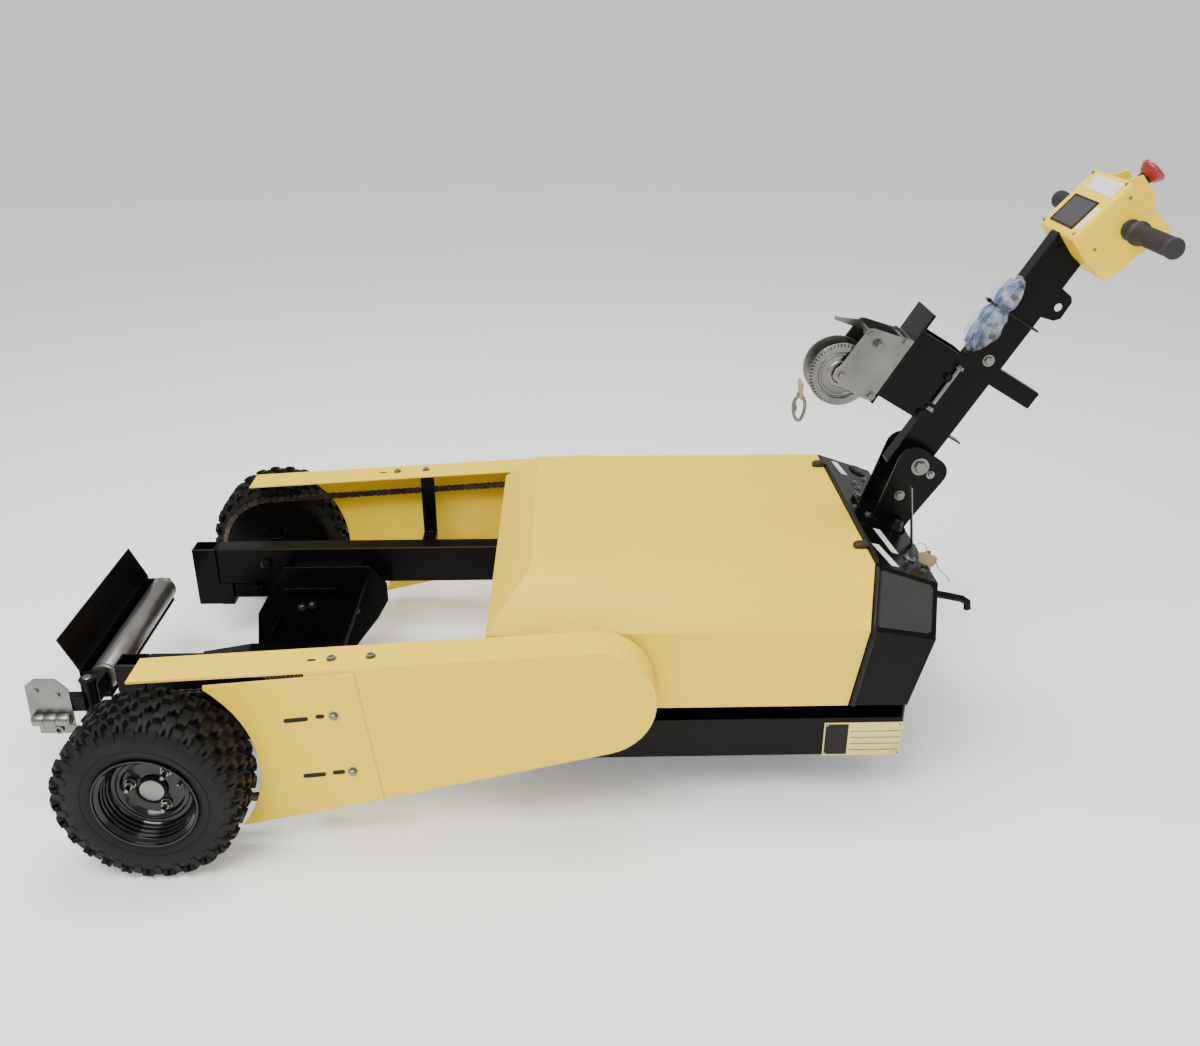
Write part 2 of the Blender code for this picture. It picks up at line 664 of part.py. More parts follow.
def gate_latch(swing):
    """Zinc catch on the gate, beside its post: backing plate, barrel and lower leaf."""
    backing = plate([(-0.304, 0.136), (-0.230, 0.136), (-0.230, 0.216), (-0.252, 0.240),
                     (-0.292, 0.240), (-0.311, 0.226), (-0.313, 0.150)], (-0.2885, -0.2855))
    barrel = rod((-0.3030, -0.2960, 0.154), (-0.2330, -0.2960, 0.154), 0.0115)
    leaf = block((-0.300, -0.230), (-0.2900, -0.2855), (0.118, 0.1375))
    finish(union(backing, barrel, leaf), "gate_latch", "zinc_plate", swing)


# Tiller, winch and control head

def along_tiller(distance, offset=0.0):
    """Point on the tiller: distance up from the pivot, offset towards the handles' side."""
    up = Vector((math.cos(TILLER_TILT), math.sin(TILLER_TILT)))
    back = Vector((math.sin(TILLER_TILT), -math.cos(TILLER_TILT)))
    point = Vector(PIVOT) + up * distance + back * offset
    return (point.x, point.y)


def tiller_plate(corners, y):
    """Plate given by (distance, offset) corners in the tiller's own directions."""
    return plate([along_tiller(a, b) for a, b in corners], y)


def yoke():
    """Foot on the deck with two lobed plates that hold the tiller's pivot."""
    base = plate([(1.330, deck_height(1.330) + GAP * 2), (1.414, deck_height(1.414) + GAP * 2),
                  (1.414, deck_height(1.414) + 0.008), (1.330, deck_height(1.330) + 0.008)],
                 (-0.060, 0.060))
    for side in (-1, 1):
        lobe = ([(1.345, deck_height(1.345) + 0.004), (1.412, deck_height(1.412) + 0.004),
                 (1.424, 0.446)]
                + arc(PIVOT[0] + 0.026, PIVOT[1] - 0.014, 0.030, -35, 60, 7)
                + arc(PIVOT[0] - 0.012, PIVOT[1] + 0.006, 0.034, 60, 165, 7))
        base = union(base, plate(lobe, pair(0.046, 0.051, side), hole=(*PIVOT, 0.0083)))
    finish(base, "tiller_yoke", "black_paint")


def pivot_bolt():
    bolt = rod((PIVOT[0], -0.0535, PIVOT[1]), (PIVOT[0], 0.0535, PIVOT[1]), 0.008)
    for side in (-1, 1):
        ys = (0.0514 * side, 0.0600 * side)
        bolt = union(bolt, rod((PIVOT[0], ys[0], PIVOT[1]), (PIVOT[0], ys[1], PIVOT[1]), 0.0180))
    finish(bolt, "pivot_bolt", "zinc_plate")


def tiller(axis):
    front, back = TILLER_FACES
    half = TILLER_WIDTH / 2
    bar = tiller_plate([(-0.034, front), (0.500, front), (0.560, back), (-0.034, back)],
                       (-half, half))
    bar = soften(bar, 0.004)
    wall = SHEET
    bar = cut(bar, tiller_plate([(-0.05, front + wall), (0.498, front + wall),
                                 (0.554, back - wall), (-0.05, back - wall)],
                                (-half + wall, half - wall)))
    spacers = rod((PIVOT[0], -0.0455, PIVOT[1]), (PIVOT[0], 0.0455, PIVOT[1]), 0.016)
    bore = rod((PIVOT[0], -0.07, PIVOT[1]), (PIVOT[0], 0.07, PIVOT[1]), 0.0083)
    bar = cut(union(bar, spacers), bore)
    tee = soften(tiller_plate([(0.201, back - 0.002), (0.238, back - 0.002), (0.238, 0.128),
                               (0.201, 0.128)], (-0.0165, 0.0165)), 0.002, 1)
    centre = along_tiller(0.391, 0.046)
    ear = plate([along_tiller(a, b) for a, b in (
        (0.358, back - 0.002), (0.424, back - 0.002), (0.420, 0.054), (0.412, 0.062),
        (0.376, 0.064), (0.366, 0.055))], (-0.0142, -0.0102), hole=(*centre, 0.008))
    tab = tiller_plate([(0.0725, back - 0.002), (0.0755, back - 0.002), (0.0755, 0.058),
                        (0.0725, 0.058)], (-0.014, 0.014))
    finish(union(bar, tee, ear, tab), "tiller_tube", "black_paint", axis)


def winch_bracket(axis):
    front, face = -0.1630, TILLER_FACES[0] - GAP
    shell = tiller_plate([(0.077, front), (0.224, front), (0.224, face), (0.077, face)],
                         (-0.050, 0.050))
    core = tiller_plate([(0.06, front + 0.004), (0.24, front + 0.004), (0.24, face - 0.004),
                         (0.06, face - 0.004)], (-0.046, 0.046))
    shell = cut(shell, core)
    flange = tiller_plate([(0.058, front - 0.005), (0.260, front - 0.005), (0.260, front + 0.001),
                           (0.058, front + 0.001)], (-0.052, 0.052))
    shell = union(shell, flange)
    for d in (0.0900, 0.1760):
        for side in (-1, 1):
            x, z = along_tiller(d, TILLER_FACES[0] - 0.020)
            shell = union(shell, rod((x, 0.048 * side, z), (x, 0.060 * side, z), 0.0075,
                                     segments=12))
    finish(shell, "winch_bracket", "black_paint", axis)


def winch(axis):
    drum_x, drum_z = along_tiller(*DRUM)
    base_o = -0.1683
    near, far = (-0.0530, -0.0500), (0.0300, 0.0330)
    base = tiller_plate([(0.060, base_o - 0.003), (0.200, base_o - 0.003), (0.200, base_o),
                         (0.060, base_o)], (near[0], far[1]))
    side = [(0.060, base_o), (0.056, -0.196)]
    nose = [(DRUM[0] - 0.016, DRUM[1] + 0.006), (DRUM[0] - 0.010, DRUM[1] - 0.014),
            (DRUM[0] + 0.004, DRUM[1] - 0.018), (DRUM[0] + 0.016, DRUM[1] - 0.014)]
    brow = [(0.164, -0.258), (0.176, -0.256), (0.181, -0.248), (0.200, base_o)]
    for ys in (near, far):
        base = union(base, tiller_plate(side + nose + brow, ys))
    shaft = along_tiller(0.159, -0.2235)
    base = union(base, rod((shaft[0], -0.064, shaft[1]), (shaft[0], 0.040, shaft[1]), 0.008,
                           segments=16))
    pin = rod((drum_x, -0.060, drum_z), (drum_x, 0.040, drum_z), 0.0065, segments=16)
    finish(union(base, pin), "winch_frame", "zinc_plate", axis)

    spin = moving("winch_axis", drum_x, -0.015, drum_z)
    gear, core, radius = 0.0060, 0.0220, 0.0625
    profile = [(0.0075, -0.0440), (0.0075, 0.0160), (radius - 0.003, 0.0160),
               (radius - 0.001, 0.0130), (core + 0.012, 0.0120), (core + 0.012, -0.0370),
               (radius - 0.001, -0.0400), (radius, -0.0440), (radius - gear, -0.0440)]
    drum = turned(list(reversed(profile)), (drum_x, 0, drum_z), 1, 40)
    spin.parent = axis
    spin.location = Vector(spin.location) - Vector((PIVOT[0], 0, PIVOT[1]))
    bpy.context.view_layer.update()
    finish(drum, "winch_drum", "zinc_plate", spin)

    hook_x, hook_z = drum_x - 0.0700, drum_z - 0.020
    strap = block((hook_x - 0.002, hook_x + 0.001), (-0.034, 0.004), (hook_z - 0.030, hook_z))
    loop = [(hook_x, -0.015, hook_z - 0.026)]
    for step in range(13):
        angle = math.radians(90 + 300 * step / 12)
        loop.append((hook_x + 0.011 * math.cos(angle), -0.015,
                     hook_z - 0.060 + 0.024 * math.sin(angle)))
    finish(union(strap, tube(loop, 0.0035)), "winch_hook", "zinc_plate", axis)


def control_head(axis):
    profile = [(1.646, 1.017), (1.738, 1.1175), (1.830, 1.031), (1.720, 0.9375), (1.677, 0.975)]
    box = soften(plate(profile, (-HEAD_HALF, HEAD_HALF)), 0.010, 2)
    front, back = TILLER_FACES
    half = TILLER_WIDTH / 2 + GAP
    socket = tiller_plate([(0.40, front - GAP), (0.5005, front - GAP), (0.5605, back + GAP),
                           (0.40, back + GAP)], (-half, half))
    finish(cut(box, socket), "control_head", "yellow_paint", axis)
    for side, word in ((-1, "left"), (1, "right")):
        inner = (HEAD_HALF + GAP) * side
        neck = rod((GRIP[0], inner, GRIP[1]), (GRIP[0], 0.125 * side, GRIP[1]), 0.0115)
        sleeve = rod((GRIP[0], 0.120 * side, GRIP[1]), (GRIP[0], 0.250 * side, GRIP[1]), 0.0180)
        collar = rod((GRIP[0], 0.112 * side, GRIP[1]), (GRIP[0], 0.122 * side, GRIP[1]), 0.0225)
        finish(union(sleeve, collar, neck), "grip_" + word, "grip_rubber", axis)
    out = Vector((0.685, 0, 0.7285))
    seat = Vector((1.738, 0, 1.1175)) + Vector((0.7285, 0, -0.685)) * 0.048
    stem = rod(seat + out * GAP, seat + out * 0.045, 0.0130)
    cap = rod(seat + out * 0.040, seat + out * 0.062, 0.0180, 0.0250, 32)
    finish(union(stem, cap), "stop_button", "red_plastic", axis)
    across = Vector((0.7285, 0, -0.685))
    foot, half = seat + out * GAP, 0.0345
    corners = [foot - across * 0.040, foot - across * 0.022 + out * 0.030,
               foot + across * 0.022 + out * 0.026, foot + across * 0.055]
    guard = plate([(p.x, p.z) for p in corners], (-half, half))
    gap = [foot - across * 0.10 + out * 0.003, foot - across * 0.10 + out * 0.10,
           foot + across * 0.10 + out * 0.10, foot + across * 0.10 + out * 0.003]
    guard = cut(guard, plate([(p.x, p.z) for p in gap], (-half + 0.004, half - 0.004)),
                rod(seat - out * 0.01, seat + out * 0.01, 0.0135))
    finish(guard, "button_guard", "yellow_paint", axis)


def strap_bag(axis):
    """Plastic bag with the spare strap, tied to the front of the tiller."""
    face = TILLER_FACES[0] - 0.002
    outline = [(0.236, face), (0.232, face - 0.018), (0.262, face - 0.030),
               (0.310, face - 0.028), (0.334, face - 0.016), (0.362, face - 0.028),
               (0.396, face - 0.020), (0.404, face - 0.008), (0.400, face)]
    bag = soften(tiller_plate(outline, (-0.046, 0.030)), 0.006, 2)
    lap = tiller_plate([(0.262, face - 0.006), (0.392, face - 0.006), (0.385, -0.008),
                        (0.272, -0.010)], (-0.044, -TILLER_WIDTH / 2 - 0.0005))
    finish(union(bag, lap), "strap_bag", "strap_webbing", axis)


def build_tractor():
    battery_and_motor()
    chassis_pan()
    cross_shaft()
    hood()
    cross_tie()
    rear_housing()
    rear_fittings()
    cradle_floor()
    gate()
    gate_hinge()
    for side, word in ((-1, "left"), (1, "right")):
        rail(side, word)
        tow_socket(side, word)
        spindle(side, word)
        chain(side, word)
        chain_guard(side, word)
        guard_front(side, word)
        guard_post(side, word)
        cradle_side(side, word)
        caster(side, word)
        drive_wheel(side, word)
    yoke()
    pivot_bolt()
    axis = moving("tiller_axis", PIVOT[0], 0, PIVOT[1])
    tiller(axis)
    winch_bracket(axis)
    winch(axis)
    control_head(axis)
    strap_bag(axis)


clear_scene()
PARTS = new_collection("pushback_tractor")
MATERIALS = {name: new_material(name) for name in COLOURS}
TRACTOR = new_empty("tractor", (AXLE_X, 0, 0))
bpy.context.view_layer.update()
build_tractor()
bpy.context.view_layer.update()
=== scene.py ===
"""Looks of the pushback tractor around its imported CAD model.

Metres, in the frame of the CAD. Shapes are drawn with X measured from the drive axle, as in the
CAD source, and moved by AXLE, which comes from the left tyre's box.
"""

import random
from math import acos, atan, atan2, copysign, cos, dist, exp, hypot, pi, radians, sin, sqrt, tan

import bmesh
import bpy
from mathutils import Matrix, Vector


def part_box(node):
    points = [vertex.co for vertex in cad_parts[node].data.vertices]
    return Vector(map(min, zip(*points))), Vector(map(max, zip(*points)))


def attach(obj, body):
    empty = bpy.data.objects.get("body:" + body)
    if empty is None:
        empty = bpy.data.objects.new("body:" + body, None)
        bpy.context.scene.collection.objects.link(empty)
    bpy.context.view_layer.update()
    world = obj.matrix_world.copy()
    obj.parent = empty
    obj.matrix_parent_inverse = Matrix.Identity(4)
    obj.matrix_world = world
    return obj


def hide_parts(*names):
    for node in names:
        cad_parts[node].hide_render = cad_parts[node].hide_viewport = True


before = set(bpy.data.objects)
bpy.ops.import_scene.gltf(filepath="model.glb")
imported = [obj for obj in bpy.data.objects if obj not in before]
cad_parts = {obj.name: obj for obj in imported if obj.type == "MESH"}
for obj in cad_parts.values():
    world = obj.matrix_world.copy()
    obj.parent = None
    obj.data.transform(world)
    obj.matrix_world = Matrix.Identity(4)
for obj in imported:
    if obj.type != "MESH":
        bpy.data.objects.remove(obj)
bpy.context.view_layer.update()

TYRE_LOW, TYRE_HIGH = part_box("tyre_left")
AXLE = (TYRE_LOW[0] + TYRE_HIGH[0]) / 2
AXLE_Z = (TYRE_LOW[2] + TYRE_HIGH[2]) / 2
TYRE_Y = -(TYRE_LOW[1] + TYRE_HIGH[1]) / 2

PIVOT = Vector((1.431, 0, 0.562))
TILT = radians(59.0)
UP = Vector((cos(TILT), 0, sin(TILT)))
BACK = Vector((sin(TILT), 0, -cos(TILT)))
SIDES = ((-1, "left"), (1, "right"))
Y = Vector((0, 1, 0))
SHARP_ANGLE = radians(34)


# Materials

def graph(name):
    material = bpy.data.materials.new(name)
    material.use_nodes = True
    tree = material.node_tree
    shader = tree.nodes["Principled BSDF"]
    coords = tree.nodes.new("ShaderNodeTexCoord").outputs["Object"]
    return material, tree, shader, coords


def noise(tree, coords, scale, detail=4.0, rough=0.55):
    node = tree.nodes.new("ShaderNodeTexNoise")
    node.inputs["Scale"].default_value = scale
    node.inputs["Detail"].default_value = detail
    node.inputs["Roughness"].default_value = rough
    tree.links.new(coords, node.inputs["Vector"])
    return node.outputs["Fac"]


def ramp(tree, value, low, high, start=0.0, end=1.0):
    node = tree.nodes.new("ShaderNodeMapRange")
    node.inputs["From Min"].default_value = low
    node.inputs["From Max"].default_value = high
    node.inputs["To Min"].default_value = start
    node.inputs["To Max"].default_value = end
    tree.links.new(value, node.inputs["Value"])
    return node.outputs["Result"]


def mix(tree, factor, a, b):
    node = tree.nodes.new("ShaderNodeMix")
    node.data_type = "RGBA"
    for socket, value in ((node.inputs["A"], a), (node.inputs["B"], b)):
        if isinstance(value, tuple):
            socket.default_value = (*value, 1.0)
        else:
            tree.links.new(value, socket)
    tree.links.new(factor, node.inputs["Factor"])
    return node.outputs["Result"]


def bump(tree, shader, height, strength, distance):
    node = tree.nodes.new("ShaderNodeBump")
    node.inputs["Strength"].default_value = strength
    node.inputs["Distance"].default_value = distance
    tree.links.new(height, node.inputs["Height"])
    tree.links.new(node.outputs["Normal"], shader.inputs["Normal"])


def edge_wear(tree, radius, low, high):
    """1 on convex edges, 0 on flat faces, from a rounded normal."""
    soft = tree.nodes.new("ShaderNodeBevel")
    soft.samples = 4
    soft.inputs["Radius"].default_value = radius
    geometry = tree.nodes.new("ShaderNodeNewGeometry")
    dot = tree.nodes.new("ShaderNodeVectorMath")
    dot.operation = "DOT_PRODUCT"
    tree.links.new(soft.outputs["Normal"], dot.inputs[0])
    tree.links.new(geometry.outputs["Normal"], dot.inputs[1])
    return ramp(tree, dot.outputs["Value"], low, high, 1.0, 0.0)


def times(tree, a, b):
    node = tree.nodes.new("ShaderNodeMath")
    node.operation = "MULTIPLY"
    tree.links.new(a, node.inputs[0])
    tree.links.new(b, node.inputs[1])
    return node.outputs["Value"]


def coated(name, base, dark, rough, grain, strength, spread=3.0, metallic=0.0, depth=0.0002,
        wear=None, gloss=0.0, stretch=None, specular=0.5, speck=0.35):
    """Painted, plated or moulded surface: blotches, fine grain, roughness changes and worn edges.

    grain and strength are the scale and amount of the fine bump, spread the scale of the blotches.
    """
    material, tree, shader, coords = graph(name)
    if stretch:
        scale = tree.nodes.new("ShaderNodeMapping")
        scale.inputs["Scale"].default_value = stretch
        tree.links.new(coords, scale.inputs["Vector"])
        fine_coords = scale.outputs["Vector"]
    else:
        fine_coords = coords
    blotch = ramp(tree, noise(tree, coords, spread), 0.3, 0.7)
    fine = noise(tree, fine_coords, grain, 3.0)
    colour = mix(tree, blotch, dark, base)
    spots = ramp(tree, noise(tree, coords, grain * 0.35, 6.0), 0.3, 0.4, speck, 0.0)
    colour = mix(tree, spots, colour, tuple(c * 0.7 for c in dark))
    if wear:
        edge = times(tree, edge_wear(tree, 0.002, 0.8, 0.97), ramp(tree, noise(tree, coords, 60.0),
            0.45, 0.62))
        colour = mix(tree, edge, colour, wear)
    tree.links.new(colour, shader.inputs["Base Color"])
    tree.links.new(ramp(tree, noise(tree, coords, spread * 4), 0.3, 0.7, rough * 0.85,
        rough * 1.15), shader.inputs["Roughness"])
    shader.inputs["Metallic"].default_value = metallic
    shader.inputs["Specular IOR Level"].default_value = specular
    shader.inputs["Coat Weight"].default_value = gloss
    shader.inputs["Coat Roughness"].default_value = 0.12
    bump(tree, shader, fine, strength, depth)
    return material


def clear_film():
    """Thin crinkled plastic bag film."""
    material, tree, shader, coords = graph("bag_film")
    creases = noise(tree, coords, 55.0, 2.0, 0.4)
    cloud = ramp(tree, noise(tree, coords, 30.0), 0.3, 0.7)
    tree.links.new(mix(tree, cloud, (0.3, 0.37, 0.54), (0.66, 0.72, 0.82)),
        shader.inputs["Base Color"])
    tree.links.new(ramp(tree, creases, 0.3, 0.7, 0.1, 0.28), shader.inputs["Roughness"])
    tree.links.new(ramp(tree, creases, 0.42, 0.62, 0.14, 0.46), shader.inputs["Alpha"])
    bump(tree, shader, creases, 0.9, 0.004)
    return material


def webbing(name, light, dark):
    """Woven strap, ribbed across its width."""
    material, tree, shader, coords = graph(name)
    wave = tree.nodes.new("ShaderNodeTexWave")
    wave.inputs["Scale"].default_value = 190.0
    wave.inputs["Distortion"].default_value = 1.5
    tree.links.new(coords, wave.inputs["Vector"])
    cloud = ramp(tree, noise(tree, coords, 25.0), 0.3, 0.7)
    colour = mix(tree, cloud, dark, light)
    colour = mix(tree, ramp(tree, wave.outputs["Fac"], 0.2, 0.8, 0.0, 0.35), colour,
        tuple(c * 0.35 for c in dark))
    tree.links.new(colour, shader.inputs["Base Color"])
    shader.inputs["Roughness"].default_value = 0.7
    bump(tree, shader, wave.outputs["Fac"], 0.5, 0.0006)
    return material


def rubber():
    """Tyre rubber: dusty in patches, darker and smoother between."""
    material, tree, shader, coords = graph("tyre_compound")
    dust = ramp(tree, noise(tree, coords, 14.0, 6.0), 0.42, 0.66)
    colour = mix(tree, dust, (0.0045, 0.0041, 0.0037), (0.0125, 0.0112, 0.01))
    tree.links.new(colour, shader.inputs["Base Color"])
    tree.links.new(ramp(tree, dust, 0.0, 1.0, 0.52, 0.82), shader.inputs["Roughness"])
    shader.inputs["Specular IOR Level"].default_value = 0.22
    bump(tree, shader, noise(tree, coords, 320.0, 3.0), 0.35, 0.0004)
    return material


def backdrop_paper(name, colour, dark):
    """Plain backdrop paper."""
    material, tree, shader, coords = graph(name)
    tree.links.new(mix(tree, ramp(tree, noise(tree, coords, 1.5), 0.3, 0.7), dark, colour),
        shader.inputs["Base Color"])
    shader.inputs["Roughness"].default_value = 0.9
    shader.inputs["Emission Color"].default_value = (1.0, 1.0, 1.0, 1.0)
    shader.inputs["Emission Strength"].default_value = 0.22
    return material


YELLOW, YELLOW_DEEP = (0.93, 0.64, 0.022), (0.885, 0.6, 0.018)
MAT = {
    "yellow": coated("yellow_powder_coat", YELLOW, YELLOW_DEEP, 0.42, 520.0, 0.16, depth=0.0003,
                     wear=(0.93, 0.74, 0.26), specular=0.25),
    "black": coated("black_gloss_coat", (0.0042, 0.0037, 0.0034), (0.0024, 0.0021, 0.0019), 0.24,
                    360.0, 0.16, depth=0.0004, wear=(0.05, 0.045, 0.04), specular=0.12),
    "moulded": coated("black_moulded", (0.0055, 0.005, 0.0046), (0.003, 0.0027, 0.0024), 0.42,
                      700.0, 0.3, depth=0.0004, specular=0.25),
    # panel: lighter grey than the black housing, a painted reflection on its glossy slanted faces
    "panel": coated("painted_reflection_panel", (0.028, 0.028, 0.027), (0.018, 0.018, 0.018), 0.2, 300.0, 0.06,
                    6.0),
    "tyre": rubber(),
    "rim": coated("rim_gloss", (0.0045, 0.004, 0.0038), (0.003, 0.0027, 0.0025), 0.14, 300.0, 0.08,
                  specular=0.42, wear=(0.06, 0.055, 0.05)),
    "zinc": coated("bright_zinc", (0.255, 0.25, 0.234), (0.155, 0.152, 0.143), 0.32, 260.0, 0.1,
                   14.0, metallic=1.0, depth=0.0001, speck=0.08, wear=(0.62, 0.61, 0.58)),
    "brushed": coated("brushed_roller", (0.3, 0.29, 0.27), (0.17, 0.16, 0.15), 0.33, 220.0, 0.25,
                      9.0, metallic=0.9, stretch=(1.0, 0.05, 1.0)),
    "chain": coated("oiled_steel", (0.16, 0.125, 0.1), (0.055, 0.045, 0.038), 0.36, 240.0, 0.3,
                    45.0, metallic=0.9, wear=(0.36, 0.32, 0.28)),
    "latch": coated("latch_rubber", (0.024, 0.0085, 0.0055), (0.013, 0.005, 0.0035), 0.62, 500.0,
                    0.4, 30.0),
    "grip": coated("grip_rubber", (0.02, 0.017, 0.015), (0.01, 0.009, 0.008), 0.62, 520.0, 0.4,
                   20.0),
    "red": coated("red_button", (0.34, 0.006, 0.014), (0.24, 0.004, 0.009), 0.34, 300.0, 0.08,
                  20.0, gloss=0.3),
    "glass": coated("dark_window", (0.01, 0.01, 0.01), (0.005, 0.005, 0.005), 0.1, 80.0, 0.03,
                    12.0, gloss=0.6),
    "label": coated("blank_label", (0.8, 0.78, 0.72), (0.7, 0.68, 0.62), 0.45, 300.0, 0.06, 18.0),
    "plate": coated("blank_rating_plate", (0.76, 0.66, 0.22), (0.66, 0.56, 0.16), 0.36, 260.0, 0.1,
                    16.0, metallic=0.25),
    "beige": coated("beige_card", (0.42, 0.33, 0.19), (0.3, 0.23, 0.13), 0.7, 200.0, 0.2, 40.0),
    "caster": coated("grey_tread", (0.13, 0.13, 0.13), (0.08, 0.08, 0.08), 0.6, 300.0, 0.3, 20.0),
    "battery": coated("battery_case", (0.03, 0.03, 0.032), (0.018, 0.018, 0.019), 0.5, 420.0, 0.3,
                      8.0),
    "copper": coated("cable_red", (0.35, 0.03, 0.02), (0.22, 0.02, 0.015), 0.45, 300.0, 0.1, 25.0),
    "film": clear_film(),
    "strap": webbing("blue_strap", (0.11, 0.17, 0.37), (0.045, 0.085, 0.22)),
    "dark_strap": webbing("winch_strap", (0.02, 0.019, 0.018), (0.009, 0.008, 0.008)),
}


# Shapes: each call adds closed forms to the drawing, in axle coordinates, and piece() takes them

DRAWING = [bmesh.new()]


def angles(count):
    """Evenly spaced round a circle."""
    return [2 * pi * i / count for i in range(count)]


def power(value, exponent):
    """Keeps the sign; makes rounded squares out of circles."""
    return copysign(abs(value) ** exponent, value)


def frame_of(direction):
    """Two unit vectors across a direction, and the direction itself."""
    d = Vector(direction).normalized()
    u = d.orthogonal().normalized() if abs(d.y) < 0.99 else Vector((1, 0, 0))
    return u, d.cross(u).normalized(), d


def turned(profile, origin, direction, steps, closed):
    """Turns (radius, offset) points about a line; closed joins the last point to the first."""
    bm = DRAWING[0]
    origin = Vector(origin)
    u, v, d = frame_of(direction)
    rings = []
    for radius, offset in profile:
        if radius < 1e-6:
            rings.append([bm.verts.new(origin + d * offset)] * steps)
            continue
        rings.append([bm.verts.new(origin + d * offset + (u * cos(a) + v * sin(a)) * radius)
            for a in angles(steps)])
    following = rings[1:] + rings[:1] if closed else rings[1:]
    for ring, after in zip(rings, following):
        for i in range(steps):
            j = (i + 1) % steps
            corners = list(dict.fromkeys((ring[i], ring[j], after[j], after[i])))
            if len(corners) > 2:
                bm.faces.new(corners)


def lathe(profile, origin, direction=(0, 1, 0), steps=48):
    """Ring or tube from a closed profile."""
    turned(profile, origin, direction, steps, True)


def lathe_open(profile, origin, direction, steps=24):
    """Solid whose profile starts and ends on the axis."""
    turned(profile, origin, direction, steps, False)


def rod(a, b, radius, end_radius=None, steps=24, round_off=0.0):
    a, b = Vector(a), Vector(b)
    length = (b - a).length
    end = radius if end_radius is None else end_radius
    r = round_off
    profile = [(0, 0), (radius, 0), (end, length), (0, length)]
    if r:
        profile[1:3] = [(radius - r, 0), (radius, r), (end, length - r), (end - r, length)]
    lathe_open(profile, a, b - a, steps)


def solid(low, high):
    """Closed form between two outlines of the same number of points."""
    bm = DRAWING[0]
    a = [bm.verts.new(p) for p in low]
    b = [bm.verts.new(p) for p in high]
    bm.faces.new(list(reversed(a)))
    bm.faces.new(b)
    for i in range(len(a)):
        j = (i + 1) % len(a)
        bm.faces.new((a[i], a[j], b[j], b[i]))


def prism(outline, y0, y1):
    """Plate from an (x, z) outline."""
    solid([Vector((x, y0, z)) for x, z in outline], [Vector((x, y1, z)) for x, z in outline])


def annulus(outer, inner, y0, y1):
    """Flat ring between two (x, z) outlines of the same number of points."""
    bm = DRAWING[0]
    rows = [[bm.verts.new(Vector((x, y, z))) for x, z in row] for y in (y0, y1)
        for row in (outer, inner)]
    low_out, low_in, high_out, high_in = rows
    for i in range(len(outer)):
        j = (i + 1) % len(outer)
        for a, b in ((low_out, low_in), (high_in, high_out), (high_out, low_out),
                (low_in, high_in)):
            bm.faces.new((a[i], a[j], b[j], b[i]))


def box(xs, ys, zs):
    prism([(xs[0], zs[0]), (xs[1], zs[0]), (xs[1], zs[1]), (xs[0], zs[1])], ys[0], ys[1])


def pill(centre, along, across, out, length, width, height):
    """Rounded slot or pad on a surface: along and across lie in it, out leaves it."""
    centre, along = Vector(centre), Vector(along).normalized()
    across, out = Vector(across).normalized(), Vector(out).normalized()
    flat, points = max(length - width, 0) / 2, []
    for end in (1, -1):
        for i in range(9):
            a = radians(-90 + 180 * i / 8) * end
            points.append(centre + along * end * (flat + width / 2 * cos(a))
                + across * width / 2 * sin(a))
    ordered = sorted(points, key=lambda p: atan2((p - centre).dot(across),
        (p - centre).dot(along)))
    solid(ordered, [p + out * height for p in ordered])


def tube(points, radius, steps=12, closed=False):
    """Round bar along a path."""
    bm = DRAWING[0]
    points = [Vector(p) for p in points]
    count, rings = len(points), []
    side = None
    for i, point in enumerate(points):
        ahead = points[(i + 1) % count] if closed else points[min(i + 1, count - 1)]
        behind = points[i - 1] if closed or i else points[0]
        d = (ahead - behind).normalized()
        if side is None:
            side = d.orthogonal().normalized()
        side = (side - d * side.dot(d)).normalized()
        up = d.cross(side)
        rings.append([bm.verts.new(point + (side * cos(a) + up * sin(a)) * radius)
            for a in angles(steps)])
    spans = count if closed else count - 1
    for i in range(spans):
        a, b = rings[i], rings[(i + 1) % count]
        for k in range(steps):
            m = (k + 1) % steps
            bm.faces.new((a[k], a[m], b[m], b[k]))
    if not closed:
        bm.faces.new(list(reversed(rings[0])))
        bm.faces.new(rings[-1])


def bolt(place, out, radius=0.0075, height=0.006, washer=1.35, stud=0.0):
    """Hex head or nut with a washer, a chamfered top and an optional stud end."""
    place = Vector(place)
    u, v, d = frame_of(out)
    lathe_open([(0, 0), (radius * washer, 0), (radius * washer, height * 0.22),
        (0, height * 0.22)], place, d, 24)
    lathe_open([(0, height * 0.2), (radius, height * 0.2), (radius, height * 0.85),
        (radius * 0.86, height), (0, height)], place, d, 6)
    if stud:
        lathe_open([(0, height * 0.9), (radius * 0.5, height * 0.9),
            (radius * 0.5, height + stud - 0.001), (radius * 0.38, height + stud),
            (0, height + stud)], place, d, 16)


def on_tiller(d, o, y=0.0):
    """Point d up the tiller from its pivot and o towards the operator."""
    return PIVOT + UP * d + BACK * o + Y * y


def tiller_prism(outline, y0, y1):
    solid([on_tiller(d, o, y0) for d, o in outline], [on_tiller(d, o, y1) for d, o in outline])


def mirrored(half):
    """Profile that is the same on both sides of its middle."""
    return half + [(radius, -offset) for radius, offset in reversed(half)]


